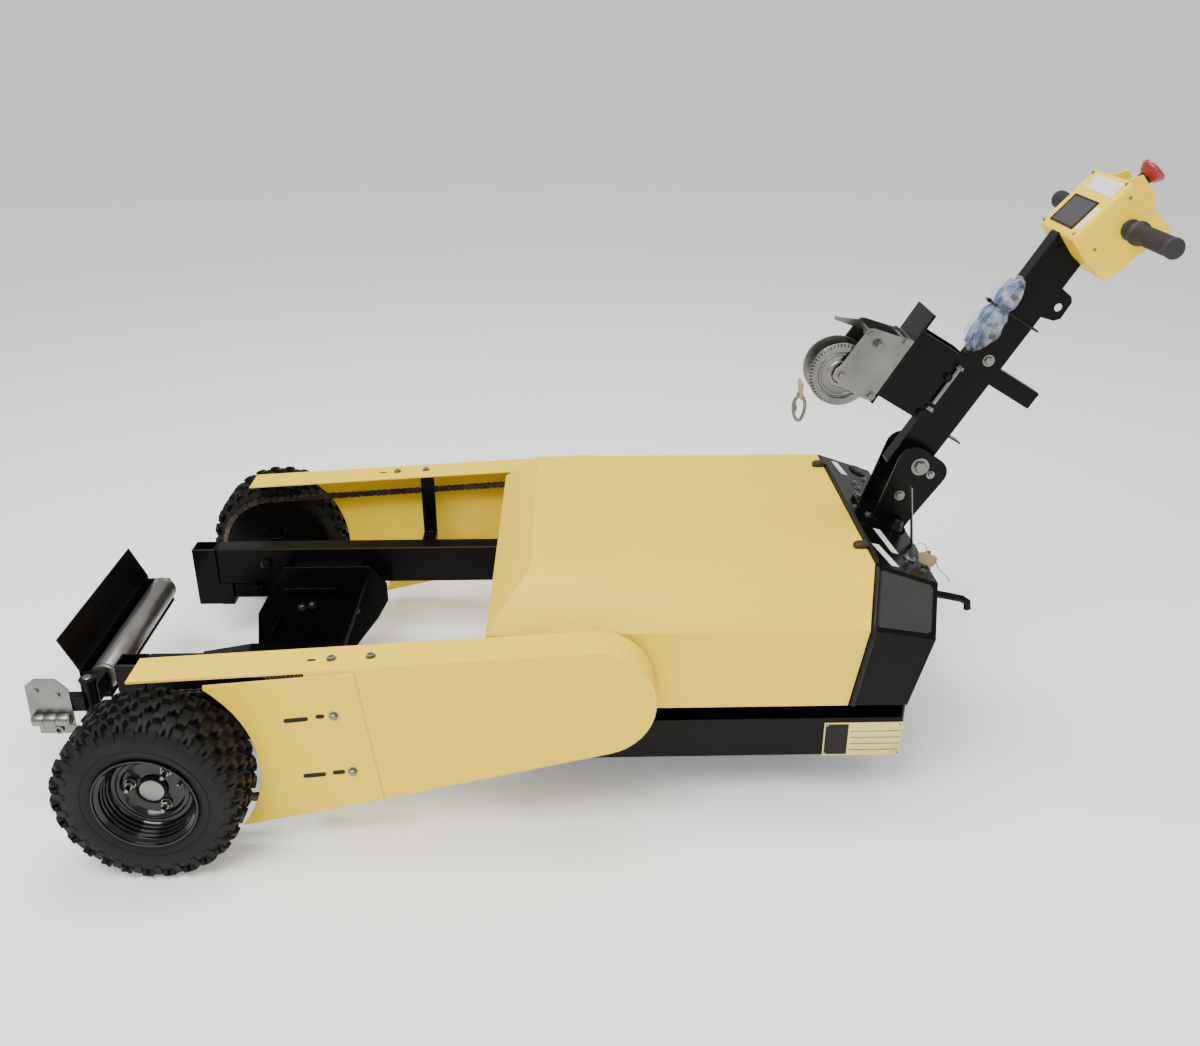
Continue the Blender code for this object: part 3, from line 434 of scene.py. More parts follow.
def piece(name, material, body, stands_for=(), bevel=0.0, segments=2):
    """Turns the drawing into a named object with a finish and a body, and hides the CAD parts it
    stands for.
    """
    bm = DRAWING[0]
    DRAWING[0] = bmesh.new()
    bmesh.ops.recalc_face_normals(bm, faces=bm.faces)
    mesh = bpy.data.meshes.new(name)
    bm.to_mesh(mesh)
    bm.free()
    mesh.transform(Matrix.Translation((AXLE, 0, 0)))
    mesh.materials.append(MAT[material])
    mesh.shade_smooth()
    mesh.set_sharp_from_angle(angle=SHARP_ANGLE)
    obj = bpy.data.objects.new(name, mesh)
    bpy.context.scene.collection.objects.link(obj)
    if bevel:
        round_edges(obj, bevel, segments, 30.0)
    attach(obj, body)
    if stands_for:
        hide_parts(*stands_for)
    return obj


def hardware(name, body, stands_for=()):
    """Zinc-plated bolts, nuts and small parts."""
    piece(name, "zinc", body, stands_for, bevel=0.0003, segments=1)


def round_edges(obj, width, segments, limit):
    cut = obj.modifiers.new("round", "BEVEL")
    cut.width = width
    cut.segments = segments
    cut.limit_method = "ANGLE"
    cut.angle_limit = radians(limit)
    cut.harden_normals = True


def dress(node, material, bevel):
    """Gives a CAD node its finish and, with modifiers only, rounded edges."""
    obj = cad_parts[node]
    obj.data.materials.clear()
    obj.data.materials.append(MAT[material])
    if bevel:
        weld = obj.modifiers.new("weld", "WELD")
        weld.merge_threshold = 0.00002
        round_edges(obj, bevel, 2, 35.0)


# CAD nodes that keep their shape

for material, bevel, nodes in (("black", 0.0012, "rail_* tow_socket_*"),
        ("black", 0.0015, "spindle_* gate_hinge"),
        ("black", 0.001, "guard_post_* cradle_side_* chassis_pan winch_bracket"),
        ("black", 0.0008, "cross_tie cradle_floor gate_arm"), ("black", 0.0007, "tiller_tube"),
        ("black", 0.0009, "tiller_yoke"), ("black", 0.004, "rear_housing"),
        ("black", 0.0, "rear_hook"), ("yellow", 0.001, "chain_guard_* control_head"),
        ("yellow", 0.0006, "guard_front_*"), ("yellow", 0.0035, "hood"),
        ("yellow", 0.0008, "button_guard"), ("zinc", 0.0008, "caster_fork_*"),
        ("zinc", 0.0006, "gate_latch winch_frame"), ("battery", 0.002, "drive_motor battery_pack"),
        ("plate", 0.0004, "rating_plate")):
    for node in nodes.split():
        for word in ("left", "right") if "*" in node else ("",):
            dress(node.replace("*", word), material, bevel)


# Wheels

CONTOUR = [(0.09, 0.0565), (0.095, 0.0585), (0.104, 0.0622), (0.115, 0.064), (0.128, 0.0638),
    (0.14, 0.0615), (0.148, 0.056), (0.1515, 0.047), (0.1532, 0.034), (0.154, 0.018),
    (0.1542, 0.006)]
TREAD = mirrored(CONTOUR)


def tread_lengths():
    total, lengths = 0.0, [0.0]
    for a, b in zip(TREAD, TREAD[1:]):
        total += dist(a, b)
        lengths.append(total)
    return [value - total / 2 for value in lengths]


LENGTHS = tread_lengths()


def tread_point(s):
    """Radius, offset and outward direction of the tyre's surface, s across from the middle."""
    for i in range(len(LENGTHS) - 1):
        if s <= LENGTHS[i + 1] or i == len(LENGTHS) - 2:
            t = (s - LENGTHS[i]) / (LENGTHS[i + 1] - LENGTHS[i])
            (r0, y0), (r1, y1) = TREAD[i], TREAD[i + 1]
            slope = Vector((r1 - r0, y1 - y0)).normalized()
            return r0 + (r1 - r0) * t, y0 + (y1 - y0) * t, -slope.y, slope.x


def knob(centre, phi, s, outline, height):
    """Tread block: outline of (length round, length across) points, tapered to its top."""
    low, high = [], []
    for a, b in outline:
        for points, lift, grow in ((low, -0.0015, 1.0), (high, height, 0.84)):
            r, y, nr, ny = tread_point(s + b * grow)
            r, y = r + nr * lift, max(min(y + ny * lift, 0.0648), -0.0648)
            angle = phi + a * grow / 0.16
            points.append(centre + Vector((cos(angle) * r, y, sin(angle) * r)))
    solid(low, high)


H_BLOCK = [(-0.0115, -0.0125), (-0.0035, -0.0125), (-0.0025, -0.005), (0.0025, -0.005),
    (0.0035, -0.0125), (0.0115, -0.0125), (0.0085, 0.0), (0.0115, 0.0125), (0.0035, 0.0125),
    (0.0025, 0.005), (-0.0025, 0.005), (-0.0035, 0.0125), (-0.0115, 0.0125), (-0.0085, 0.0)]
MID_BLOCK = [(-0.0105, -0.0085), (0.0, -0.006), (0.0105, -0.0085), (0.0085, 0.0085), (0.0, 0.006),
    (-0.0085, 0.0085)]
LUG = [(-0.0095, -0.011), (0.0095, -0.011), (0.0075, 0.011), (0.0, 0.0075), (-0.0075, 0.011)]
PITCHES = 26


def tyre(side, word):
    centre = Vector((0, TYRE_Y * side, AXLE_Z))
    inner = [(0.087, -0.054), (0.0835, -0.04), (0.0835, 0.04), (0.087, 0.054)]
    lathe(TREAD + inner, centre, Y, 96)
    for edge in (-1, 1):
        lathe([(0.108, 0.0625 * edge), (0.109, 0.0647 * edge), (0.1105, 0.0647 * edge),
            (0.1115, 0.0625 * edge)], centre, Y, 96)
    half = pi / PITCHES
    for phi in angles(PITCHES):
        knob(centre, phi, 0.0, H_BLOCK, 0.0108)
        for edge in (-1, 1):
            flip = [(a, b * edge) for a, b in MID_BLOCK]
            knob(centre, phi + half, 0.027 * edge, flip, 0.0108)
            flip = [(a, b * edge) for a, b in H_BLOCK]
            knob(centre, phi, 0.049 * edge, [(a, b * 0.8) for a, b in flip], 0.0125)
            flip = [(a, b * edge) for a, b in LUG]
            knob(centre, phi + half, 0.0655 * edge, flip, 0.0085)
    piece("tyre_knobby_" + word, "tyre", "wheel_" + word, ("tyre_" + word,), bevel=0.0007,
        segments=1)


def rim(side, word):
    centre = Vector((0, TYRE_Y * side, AXLE_Z))
    out = Y * side
    outside = mirrored([(0.0908, 0.063), (0.0915, 0.0605), (0.0905, 0.0572), (0.0828, 0.054),
        (0.0822, 0.05)])
    inside = [(0.088, -0.0622), (0.08, -0.053), (0.079, -0.04), (0.0785, 0.0035), (0.03, 0.0035),
        (0.028, -0.074), (0.0136, -0.074), (0.0136, 0.016)]
    front = [(0.024, 0.0165), (0.0252, 0.01), (0.033, 0.0085), (0.047, 0.008), (0.054, 0.01),
        (0.06, 0.018), (0.0655, 0.0205), (0.07, 0.021), (0.0722, 0.024), (0.0724, 0.03),
        (0.0745, 0.0318), (0.0747, 0.0385), (0.0766, 0.0402), (0.0768, 0.0465), (0.0788, 0.0482),
        (0.08, 0.0535), (0.0868, 0.059), (0.0876, 0.0625)]
    lathe(outside + inside + front, centre, out, 72)
    lathe([(0.056, 0.0205), (0.06, 0.0222), (0.064, 0.0215), (0.06, 0.015)], centre, out, 72)
    piece("rim_pressed_" + word, "rim", "wheel_" + word, ("rim_" + word,), bevel=0.0005,
        segments=1)
    lathe_open([(0, 0.0165), (0.0225, 0.0165), (0.0228, 0.0205), (0.0212, 0.0235), (0.012, 0.0252),
        (0, 0.0256)], centre, out, 40)
    for angle in (172, 52, -68):
        lug = centre + Vector((0.041 * cos(radians(angle)), 0.0082 * side,
            0.041 * sin(radians(angle))))
        bolt(lug, out, 0.0088, 0.01, 1.15, 0.015)
    lathe_open([(0, 0.0), (0.0032, 0.0), (0.0032, 0.018), (0.0022, 0.021), (0, 0.021)],
        centre + Vector((0.06, 0.02 * side, 0.025)), (-0.35, side, -0.1), 12)
    hardware("hub_hardware_" + word, "wheel_" + word)


for side, word in SIDES:
    tyre(side, word)
    rim(side, word)


# Chains and sprockets

SPROCKET = (0.775, 0.283)
R_FRONT, R_REAR = 0.128, 0.057
CHAIN_Y = 0.43
LINK_PITCH = 0.0318


def chain_pins():
    """Chain pins as (x, z), evenly spaced on the pitch line round both sprockets."""
    across, rise = SPROCKET[0], SPROCKET[1] - AXLE_Z
    span = hypot(across, rise)
    tilt = atan2(rise, across)
    lean = acos((R_FRONT - R_REAR) / span)
    straight = sqrt(span ** 2 - (R_FRONT - R_REAR) ** 2)
    rear_arc, front_arc = R_REAR * 2 * lean, R_FRONT * (2 * pi - 2 * lean)
    total = rear_arc + front_arc + 2 * straight
    count = 2 * round(total / LINK_PITCH)
    pins = []
    for i in range(count):
        s, along = total * i / count, 0.0
        front = s >= rear_arc + straight
        (x, z), radius = ((0.0, AXLE_Z), R_FRONT) if front else (SPROCKET, R_REAR)
        if s < rear_arc:
            angle = tilt - lean + s / R_REAR
        elif not front:
            angle, along = tilt + lean, s - rear_arc
        elif s < rear_arc + straight + front_arc:
            angle = tilt + lean + (s - rear_arc - straight) / R_FRONT
        else:
            angle, along = tilt - lean, s - rear_arc - straight - front_arc
        heading = angle + pi / 2
        pins.append((x + radius * cos(angle) + along * cos(heading),
            z + radius * sin(angle) + along * sin(heading)))
    return pins


def link_outline(a, b, radius):
    """Figure-of-eight side plate between two pins."""
    a, b = Vector(a), Vector(b)
    d = (b - a).normalized()
    n = Vector((-d.y, d.x))
    points = []
    for centre, way in ((b, 1), (a, -1)):
        for i in range(7):
            angle = radians(-75 + 25 * i)
            reach = d * (radius * cos(angle)) + n * (radius * sin(angle))
            points.append(centre + reach * way)
        points.append((a + b) / 2 + n * (radius * 0.68) * way)
    return [(p.x, p.y) for p in points]


def roller_chain(side, word):
    pins = chain_pins()
    y = CHAIN_Y * side
    for i, pin in enumerate(pins):
        gap, thick = 0.0034 if i % 2 else 0.005, 0.0014
        outline = link_outline(pin, pins[(i + 1) % len(pins)], 0.0062)
        prism(outline, y + gap, y + gap + thick)
        prism(outline, y - gap - thick, y - gap)
        for half, radius, steps in ((0.0033, 0.0046, 12), (0.0069, 0.0024, 8)):
            rod((pin[0], y - half, pin[1]), (pin[0], y + half, pin[1]), radius, steps=steps)
    piece("roller_chain_" + word, "chain", "chassis", ("chain_" + word,))


def gear(cx, cz, count, tooth):
    """Outline of a gear; tooth gives (share of the pitch, radius) points."""
    points = []
    for i in range(count):
        for share, radius in tooth:
            a = 2 * pi * (i + share) / count
            points.append((cx + radius * cos(a), cz + radius * sin(a)))
    return points


def sprocket_disc(centre, radius, teeth, y):
    """Disc with rounded teeth, centre as (x, z)."""
    tooth = [(share, radius + reach) for share, reach in ((0.0, -0.0046), (0.18, -0.0035),
        (0.36, 0.0022), (0.5, 0.0036), (0.64, 0.0022), (0.82, -0.0035))]
    prism(gear(*centre, teeth, tooth), y - 0.0026, y + 0.0026)


def wheel_sprocket(side, word):
    y = CHAIN_Y * side
    sprocket_disc((0, AXLE_Z), R_FRONT, 50, y)
    for angle in range(0, 360, 60):
        x = 0.052 * cos(radians(angle))
        z = AXLE_Z + 0.052 * sin(radians(angle))
        bolt((x, y - 0.0026 * side, z), (0, -side, 0), 0.006, 0.005)
    lathe([(0.0145, -0.016), (0.03, -0.016), (0.031, -0.015), (0.031, 0.012), (0.0145, 0.012)],
        (0, y, AXLE_Z), Y * side, 40)
    piece("sprocket_toothed_" + word, "black", "wheel_" + word,
        ("wheel_sprocket_" + word,), bevel=0.0004, segments=1)


def drive_shaft():
    x, z = SPROCKET
    rod((x, -0.448, z), (x, 0.448, z), 0.0126, steps=32, round_off=0.0012)
    for side, _ in SIDES:
        y = CHAIN_Y * side
        sprocket_disc(SPROCKET, R_REAR, 22, y)
        lathe([(0.0126, -0.012), (0.024, -0.012), (0.025, -0.011), (0.025, 0.008),
            (0.0126, 0.008)], (x, y, z), Y * side, 32)
        bolt((x, y + 0.017 * side, z), (0, side, 0), 0.007, 0.0012, 1.0)
        lathe([(0.0126, -0.006), (0.0215, -0.006), (0.0215, 0.006), (0.0126, 0.006)],
            (x, 0.384 * side, z), Y, 32)
    piece("shaft_assembly", "chain", "chassis", ("drive_shaft",), bevel=0.0004,
        segments=1)


for side, word in SIDES:
    roller_chain(side, word)
    wheel_sprocket(side, word)
drive_shaft()


# Chain guard hardware

TOP_SLOPE = atan(0.0553)
GUARD_R = 0.1065
GUARD_FACE = 0.4693


def guard_top(x):
    touch = (SPROCKET[0] - GUARD_R * sin(TOP_SLOPE), SPROCKET[1] + GUARD_R * cos(TOP_SLOPE))
    return touch[1] + tan(TOP_SLOPE) * (x - touch[0])


def guard_hardware(side, word):
    top_out = Vector((-sin(TOP_SLOPE), 0, cos(TOP_SLOPE)))
    top_along = Vector((cos(TOP_SLOPE), 0, sin(TOP_SLOPE)))
    face, top_y = GUARD_FACE * side, CHAIN_Y * side
    spring_y, spring_z = 0.457 * side, guard_top(0.225) - 0.012
    for x in (0.311, 0.38):
        bolt((x, top_y, guard_top(x)), top_out, 0.0068, 0.006)
    for x, z in ((0.313, 0.272), (0.336, 0.152)):
        bolt((x, face, z), (0, side, 0), 0.0068, 0.007)
    coil, turns = [], 8
    for i in range(turns * 12 + 1):
        a = 2 * pi * i / 12
        coil.append((0.198 + 0.058 * (i / (turns * 12)), spring_y + 0.0052 * cos(a),
            spring_z + 0.0052 * sin(a)))
    tube(coil, 0.0012, 8)
    rod((0.176, spring_y, spring_z), (0.262, spring_y, spring_z), 0.002, steps=10)
    hardware("guard_bolts_" + word, "chassis")
    for x, z, length in ((0.246, 0.264, 0.044), (0.289, 0.2705, 0.016), (0.267, 0.145, 0.042),
            (0.311, 0.1505, 0.023)):
        pill((x, face, z), (1, 0, 0.09), (0, 0, 1), (0, side, 0), length, 0.0092, 0.00025)
    pill((0.276, top_y, guard_top(0.276) + 0.0001), top_along, Y, top_out, 0.016, 0.0065, 0.00025)
    piece("guard_slots_" + word, "moulded", "chassis")


for side, word in SIDES:
    guard_hardware(side, word)


# Hood, seam strip, latches and what is under the hood

def seam_strip():
    """Rubber strip between hood and housing, slightly proud of the hood's section."""
    proud = 0.0016
    right = [(1.254, 0.374 + proud, 0.216), (1.2805, 0.374 + proud, 0.374),
        (1.303, 0.277 + proud * 0.5, 0.461 + proud * 0.9)]
    path = right + [(x, -y, z) for x, y, z in reversed(right)]
    dense = []
    for a, b in zip(path, path[1:]):
        for i in range(6):
            dense.append(Vector(a).lerp(Vector(b), i / 6))
    dense.append(Vector(path[-1]))
    smooth = [dense[0]] + [(dense[i - 1] + dense[i] * 2 + dense[i + 1]) / 4
        for i in range(1, len(dense) - 1)] + [dense[-1]]
    tube(smooth, 0.0052, 12)
    piece("seam_strip", "moulded", "chassis")


def latch(side, word):
    x, y = 1.286, 0.206 * side
    low, high = [], []
    for a in angles(24):
        px, py = x + 0.015 * power(cos(a), 0.6), y + 0.01 * power(sin(a), 0.6)
        low.append(Vector((px, py, 0.4613)))
        high.append(Vector((px, py, 0.4685)))
    solid(low, high)
    crown = [p + (Vector((x, y, 0)) - Vector((p.x, p.y, 0))) * 0.35 + Vector((0, 0, 0.004))
        for p in high]
    solid([p - Vector((0, 0, 0.0005)) for p in high], crown)
    pill((x + 0.004, y, 0.4712), (0, 1, 0), (1, 0, 0), (0, 0, 1), 0.011, 0.0055, 0.0016)
    piece("latch_pad_" + word, "latch", "hood", ("hood_latch_" + word,), bevel=0.001)


def battery_details():
    low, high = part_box("battery_pack")
    x0, x1, top = low[0] - AXLE, high[0] - AXLE, high[2]
    for x, y in ((x0 + 0.03, -0.15), (x0 + 0.03, 0.05), (x1 - 0.03, -0.05), (x1 - 0.03, 0.15)):
        rod((x, y, top), (x, y, top + 0.016), 0.01, 0.0085, steps=20, round_off=0.001)
        bolt((x, y, top + 0.016), (0, 0, 1), 0.0065, 0.005)
    piece("battery_terminals", "zinc", "chassis", bevel=0.0004, segments=1)
    for y in (-0.1, 0.0, 0.1):
        box((x0 + 0.004, x1 - 0.004), (y - 0.0015, y + 0.0015), (top + 0.0002, top + 0.004))
    for i in range(6):
        x = x0 + 0.075 + i * 0.024
        for y in (-0.15, 0.15):
            rod((x, y, top), (x, y, top + 0.007), 0.009, 0.008, steps=18, round_off=0.001)
    piece("battery_caps", "moulded", "chassis", bevel=0.0004, segments=1)
    cable = []
    for i in range(20):
        t = i / 19
        cable.append((x0 + 0.03 - 0.09 * t, 0.05 - 0.02 * t,
            top + 0.012 + 0.03 * sin(pi * t) - 0.085 * t * t))
    tube(cable, 0.0045, 12)
    piece("battery_lead", "copper", "chassis")


seam_strip()
for side, word in SIDES:
    latch(side, word)
battery_details()


# Deck fittings

def deck_height(x):
    return 0.461 + (0.419 - 0.461) * (x - 1.296) / (1.419 - 1.296)


def on_deck(x, y, lift=0.0):
    return Vector((x, y, deck_height(x) + lift))


DECK_ALONG = Vector((0.123, 0, -0.042)).normalized()
DECK_OUT = Vector((0.042, 0, 0.123)).normalized()


def strip_label(start, end, width):
    a, b = Vector((*start, 0)), Vector((*end, 0))
    d = (b - a).normalized()
    n = Vector((-d.y, d.x, 0)) * width / 2
    low = []
    for p in (a + n, a - n, b - n, b + n):
        low.append(Vector((p.x, p.y, deck_height(p.x) + 0.0002)))
    solid(low, [p + DECK_OUT * 0.0006 for p in low])


def deck():
    strip_label((1.345, -0.093), (1.357, -0.193), 0.014)
    strip_label((1.321, -0.178), (1.34, -0.26), 0.016)
    strip_label((1.333, 0.258), (1.342, 0.19), 0.014)
    piece("deck_labels", "label", "chassis")
    x, y = 1.384, 0.245
    for length, width, lift, height in ((0.052, 0.034, 0.0, 0.0035),
            (0.04, 0.023, 0.0036, 0.0015)):
        pill(on_deck(x, y, lift), Y, DECK_ALONG, DECK_OUT, length, width, height)
    x, y = 1.392, -0.06
    rod(on_deck(x, y), on_deck(x, y) + DECK_OUT * 0.01, 0.014, 0.013, 28, 0.001)
    rod(on_deck(x, y) + DECK_OUT * 0.009, on_deck(x, y) + DECK_OUT * 0.024, 0.011, 0.0095, 28,
        0.002)
    piece("deck_socket_and_knob", "moulded", "chassis", bevel=0.0006)
    for x, y in ((1.388, 0.196), (1.356, 0.156), (1.358, 0.124), (1.343, 0.086), (1.398, 0.16),
            (1.4, -0.24), (1.322, 0.0)):
        bolt(on_deck(x, y), DECK_OUT, 0.005, 0.0042)
    for x, y in ((1.338, -0.046), (1.338, 0.046), (1.4, -0.052), (1.4, 0.052)):
        bolt(on_deck(x, y, 0.008), DECK_OUT, 0.0062, 0.006)
    hardware("deck_bolts", "chassis")
    prism([(1.41, 0.4225), (1.4125, 0.4225), (1.3975, 0.548), (1.395, 0.548)], -0.127, -0.113)
    piece("deck_blade", "zinc", "chassis", bevel=0.0006)


def keys():
    """Key switch with a ring, two keys, a paper tag and its string."""
    x, y = 1.384, -0.2
    base = on_deck(x, y)
    rod(base, base + DECK_OUT * 0.006, 0.012, 0.0112, 28, 0.001)
    solid(*([base + DECK_OUT * lift + (DECK_ALONG * u + Y * v) for u, v in ((-0.001, -half),
        (0.001, -half), (0.001, half), (-0.001, half))] for lift, half in ((0.006, 0.0095),
        (0.029, 0.0125))))
    centre = base + DECK_OUT * 0.026 + Vector((0.01, -0.004, -0.002))
    ring = [Vector((0.012 * cos(a), 0.003 * sin(a), 0.012 * sin(a))) for a in angles(28)]
    tube([centre + p for p in ring], 0.0009, 8, closed=True)
    for shift, lean in ((0.0, 0.25), (0.004, -0.15)):
        top = centre + Vector((0.011, -0.002 - shift, -0.004))
        d = Vector((sin(lean), -0.1, -cos(lean))).normalized()
        n = d.cross(Y).normalized()
        low = [top + d * u + n * v for u, v in ((0, -0.008), (0, 0.008), (0.016, 0.007),
            (0.018, 0.003), (0.04, 0.003), (0.043, 0), (0.04, -0.003), (0.018, -0.003),
            (0.016, -0.007))]
        solid(low, [p + Y * 0.0016 for p in low])
    hardware("key_set", "chassis")
    top = centre + Vector((0.002, -0.012, -0.006))
    card = [top + Vector(p) for p in ((-0.01, 0, 0.004), (0.002, -0.004, 0.009),
        (0.026, -0.01, -0.004), (0.02, -0.006, -0.024), (-0.006, 0.002, -0.016))]
    solid(card, [p + Vector((0.0002, 0.0009, 0.0004)) for p in card])
    string = []
    for i in range(22):
        t = i / 21
        string.append(top + Vector((0.008 + 0.042 * t + 0.004 * sin(9 * t), -0.004 - 0.012 * t,
            -0.002 - 0.052 * t * t + 0.005 * sin(7 * t))))
    tube(string, 0.0012, 8)
    piece("key_tag", "beige", "chassis")


def housing_panels():
    """Slightly proud glossy panels on the housing's two slanted faces, lighter grey than the
    housing as a painted reflection.
    """
    for side, _ in SIDES:
        corners = [Vector((x, y * side, z)) for x, y, z in ((1.2742, 0.374, 0.374),
            (1.395, 0.374, 0.353), (1.419, 0.277, 0.419), (1.2972, 0.277, 0.461))]
        out = (corners[1] - corners[0]).cross(corners[3] - corners[0]).normalized()
        if out.z < 0:
            out.negate()
        middle = sum(corners, Vector()) / 4
        low = []
        for i, corner in enumerate(corners):
            inward = corner + (middle - corner).normalized() * 0.014
            for other in (corners[i - 1], corners[(i + 1) % 4]):
                low.append(inward + (other - corner).normalized() * 0.006 + out * 0.0002)
        solid(low, [p + out * 0.0012 for p in low])
    piece("housing_panels", "panel", "chassis", bevel=0.0008)


deck()
keys()
housing_panels()


# Cradle, gate and roller hardware

def cradle_bolts():
    for side, _ in SIDES:
        for x, z in ((0.108, 0.13), (0.131, 0.135), (0.23, 0.12)):
            bolt((x, 0.1797 * side, z), (0, -side, 0), 0.0075, 0.0065)
        for x, z in ((0.02, 0.218), (0.15, 0.196)):
            bolt((x, 0.226 * side, z), (0, -side, 0), 0.007, 0.0055)
    for x, z in ((-0.11, 0.022), (-0.03, 0.0345)):
        for y in (-0.12, 0.12):
            bolt((x, y, z), (-0.15, 0, 1), 0.006, 0.004)
    piece("cradle_bolts", "chain", "chassis", bevel=0.0004, segments=1)
    for side, _ in SIDES:
        y0, y1 = sorted((0.179 * side, 0.17 * side))
        prism([(0.074, 0.176), (0.195, 0.176), (0.195, 0.184), (0.074, 0.184)], y0, y1)
        rod((0.027, 0.2255 * side, 0.223), (0.027, 0.214 * side, 0.223), 0.011, 0.0095, 28, 0.001)
        prism([(0.03, 0.06), (0.06, 0.11), (0.056, 0.113), (0.026, 0.063)], y0, y1)
    piece("cradle_ribs", "black", "chassis", bevel=0.0006)


def gate_hardware():
    low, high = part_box("gate_roller")
    cx, cz = (low[0] + high[0]) / 2 - AXLE, (low[2] + high[2]) / 2
    end = high[1]
    lathe([(0.0078, -end), (0.0255, -end), (0.027, -end + 0.0006), (0.0279, -end + 0.0022),
        (0.028, -end + 0.01), (0.0277, -end + 0.0105), (0.028, -end + 0.011), (0.028, end - 0.011),
        (0.0277, end - 0.0105), (0.028, end - 0.01), (0.0279, end - 0.0022), (0.027, end - 0.0006),
        (0.0255, end), (0.0078, end)], (cx, 0, cz), Y, 64)
    piece("roller_tube", "brushed", "roller", ("gate_roller",))
    post, seat = Vector((-0.202, -0.262, 0.222)), Vector((-0.202, -0.262, 0.2252))
    rod(post, seat, 0.0172, 0.0165, 32, 0.0008)
    piece("gate_post_cap", "black", "gate")
    rod(seat, (-0.202, -0.262, 0.2292), 0.0092, 0.0078, 28, 0.001)
    for side, _ in SIDES:
        bolt((-0.2052, 0.2002 * side, 0.18), (0, side, 0), 0.009, 0.006)
    for x in (-0.293, -0.27, -0.247):
        lathe(mirrored([(0.0068, -0.0105), (0.0124, -0.0105), (0.0128, -0.0095)]),
            (x, -0.296, 0.154), (1, 0, 0), 28)
    for x, z in ((-0.291, 0.214), (-0.252, 0.204)):
        bolt((x, -0.2887, z), (0, -1, 0), 0.005, 0.0038)
    rod((-0.309, -0.296, 0.154), (-0.236, -0.296, 0.154), 0.005, steps=16, round_off=0.0008)
    lathe([(0.0048, -0.0022), (0.0088, -0.0022), (0.0088, 0.0022), (0.0048, 0.0022)],
        (-0.262, -0.2925, 0.1275), Y, 24)
    hardware("gate_hardware", "gate")


cradle_bolts()
gate_hardware()


# Casters

def caster_wheel(side, word):
    low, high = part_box("caster_wheel_" + word)
    c = (low + high) / 2
    centre = (c[0] - AXLE, c[1], c[2])
    lathe(mirrored([(0.036, -0.0125), (0.044, -0.0158), (0.047, -0.015), (0.0492, -0.011),
        (0.05, -0.005)]), centre, Y, 56)
    piece("caster_tyre_" + word, "caster", "caster_roll_" + word,
        ("caster_wheel_" + word,))
    lathe(mirrored([(0.0055, -0.0158), (0.013, -0.0158), (0.0145, -0.013), (0.016, -0.006),
        (0.031, -0.005), (0.034, -0.0122), (0.0362, -0.0124)]), centre, Y, 48)
    piece("caster_core_" + word, "moulded", "caster_roll_" + word, bevel=0.0004,
        segments=1)
    for out in (-1, 1):
        bolt((centre[0], centre[1] + 0.0243 * out, centre[2]), (0, out, 0), 0.007, 0.005)
    hardware("caster_axle_nuts_" + word, "caster_" + word)


for side, word in SIDES:
    caster_wheel(side, word)


# Tiller, yoke and winch

YOKE_FACE = 0.0512
DRUM_D, DRUM_O = 0.0732, -0.2482


def yoke_hardware():
    for side, _ in SIDES:
        bolt(PIVOT + Y * YOKE_FACE * side, (0, side, 0), 0.0125, 0.009, 1.45)
    rod(PIVOT - Y * 0.0513, PIVOT + Y * 0.0513, 0.0079, steps=24)
    piece("pivot_bolt_and_nut", "zinc", "chassis", ("pivot_bolt",), bevel=0.0004,
        segments=1)
    for side, _ in SIDES:
        bolt((1.454, YOKE_FACE * side, 0.544), (0, side, 0), 0.0062, 0.0055)
        bolt((1.396, YOKE_FACE * side, 0.5), (0, side, 0), 0.008, 0.007)
    hardware("yoke_bolts", "chassis")


def tiller_hardware():
    for side, _ in SIDES:
        bolt(on_tiller(0.24, -0.006, 0.019 * side), (0, side, 0), 0.0085, 0.0075, 1.4)
    rod(on_tiller(0.12, -0.062, -0.056), on_tiller(0.205, -0.062, -0.056), 0.0042, steps=16)
    for d in (0.105, 0.2):
        bolt(on_tiller(d, -0.062, -0.056), UP, 0.0075, 0.007, 1.3)
    hardware("tiller_bolts", "tiller")
    tiller_prism([(0.203, 0.1262), (0.236, 0.1262), (0.236, 0.128), (0.203, 0.128)], -0.0148,
        0.0148)
    piece("tube_end_plug", "moulded", "tiller", bevel=0.0005)


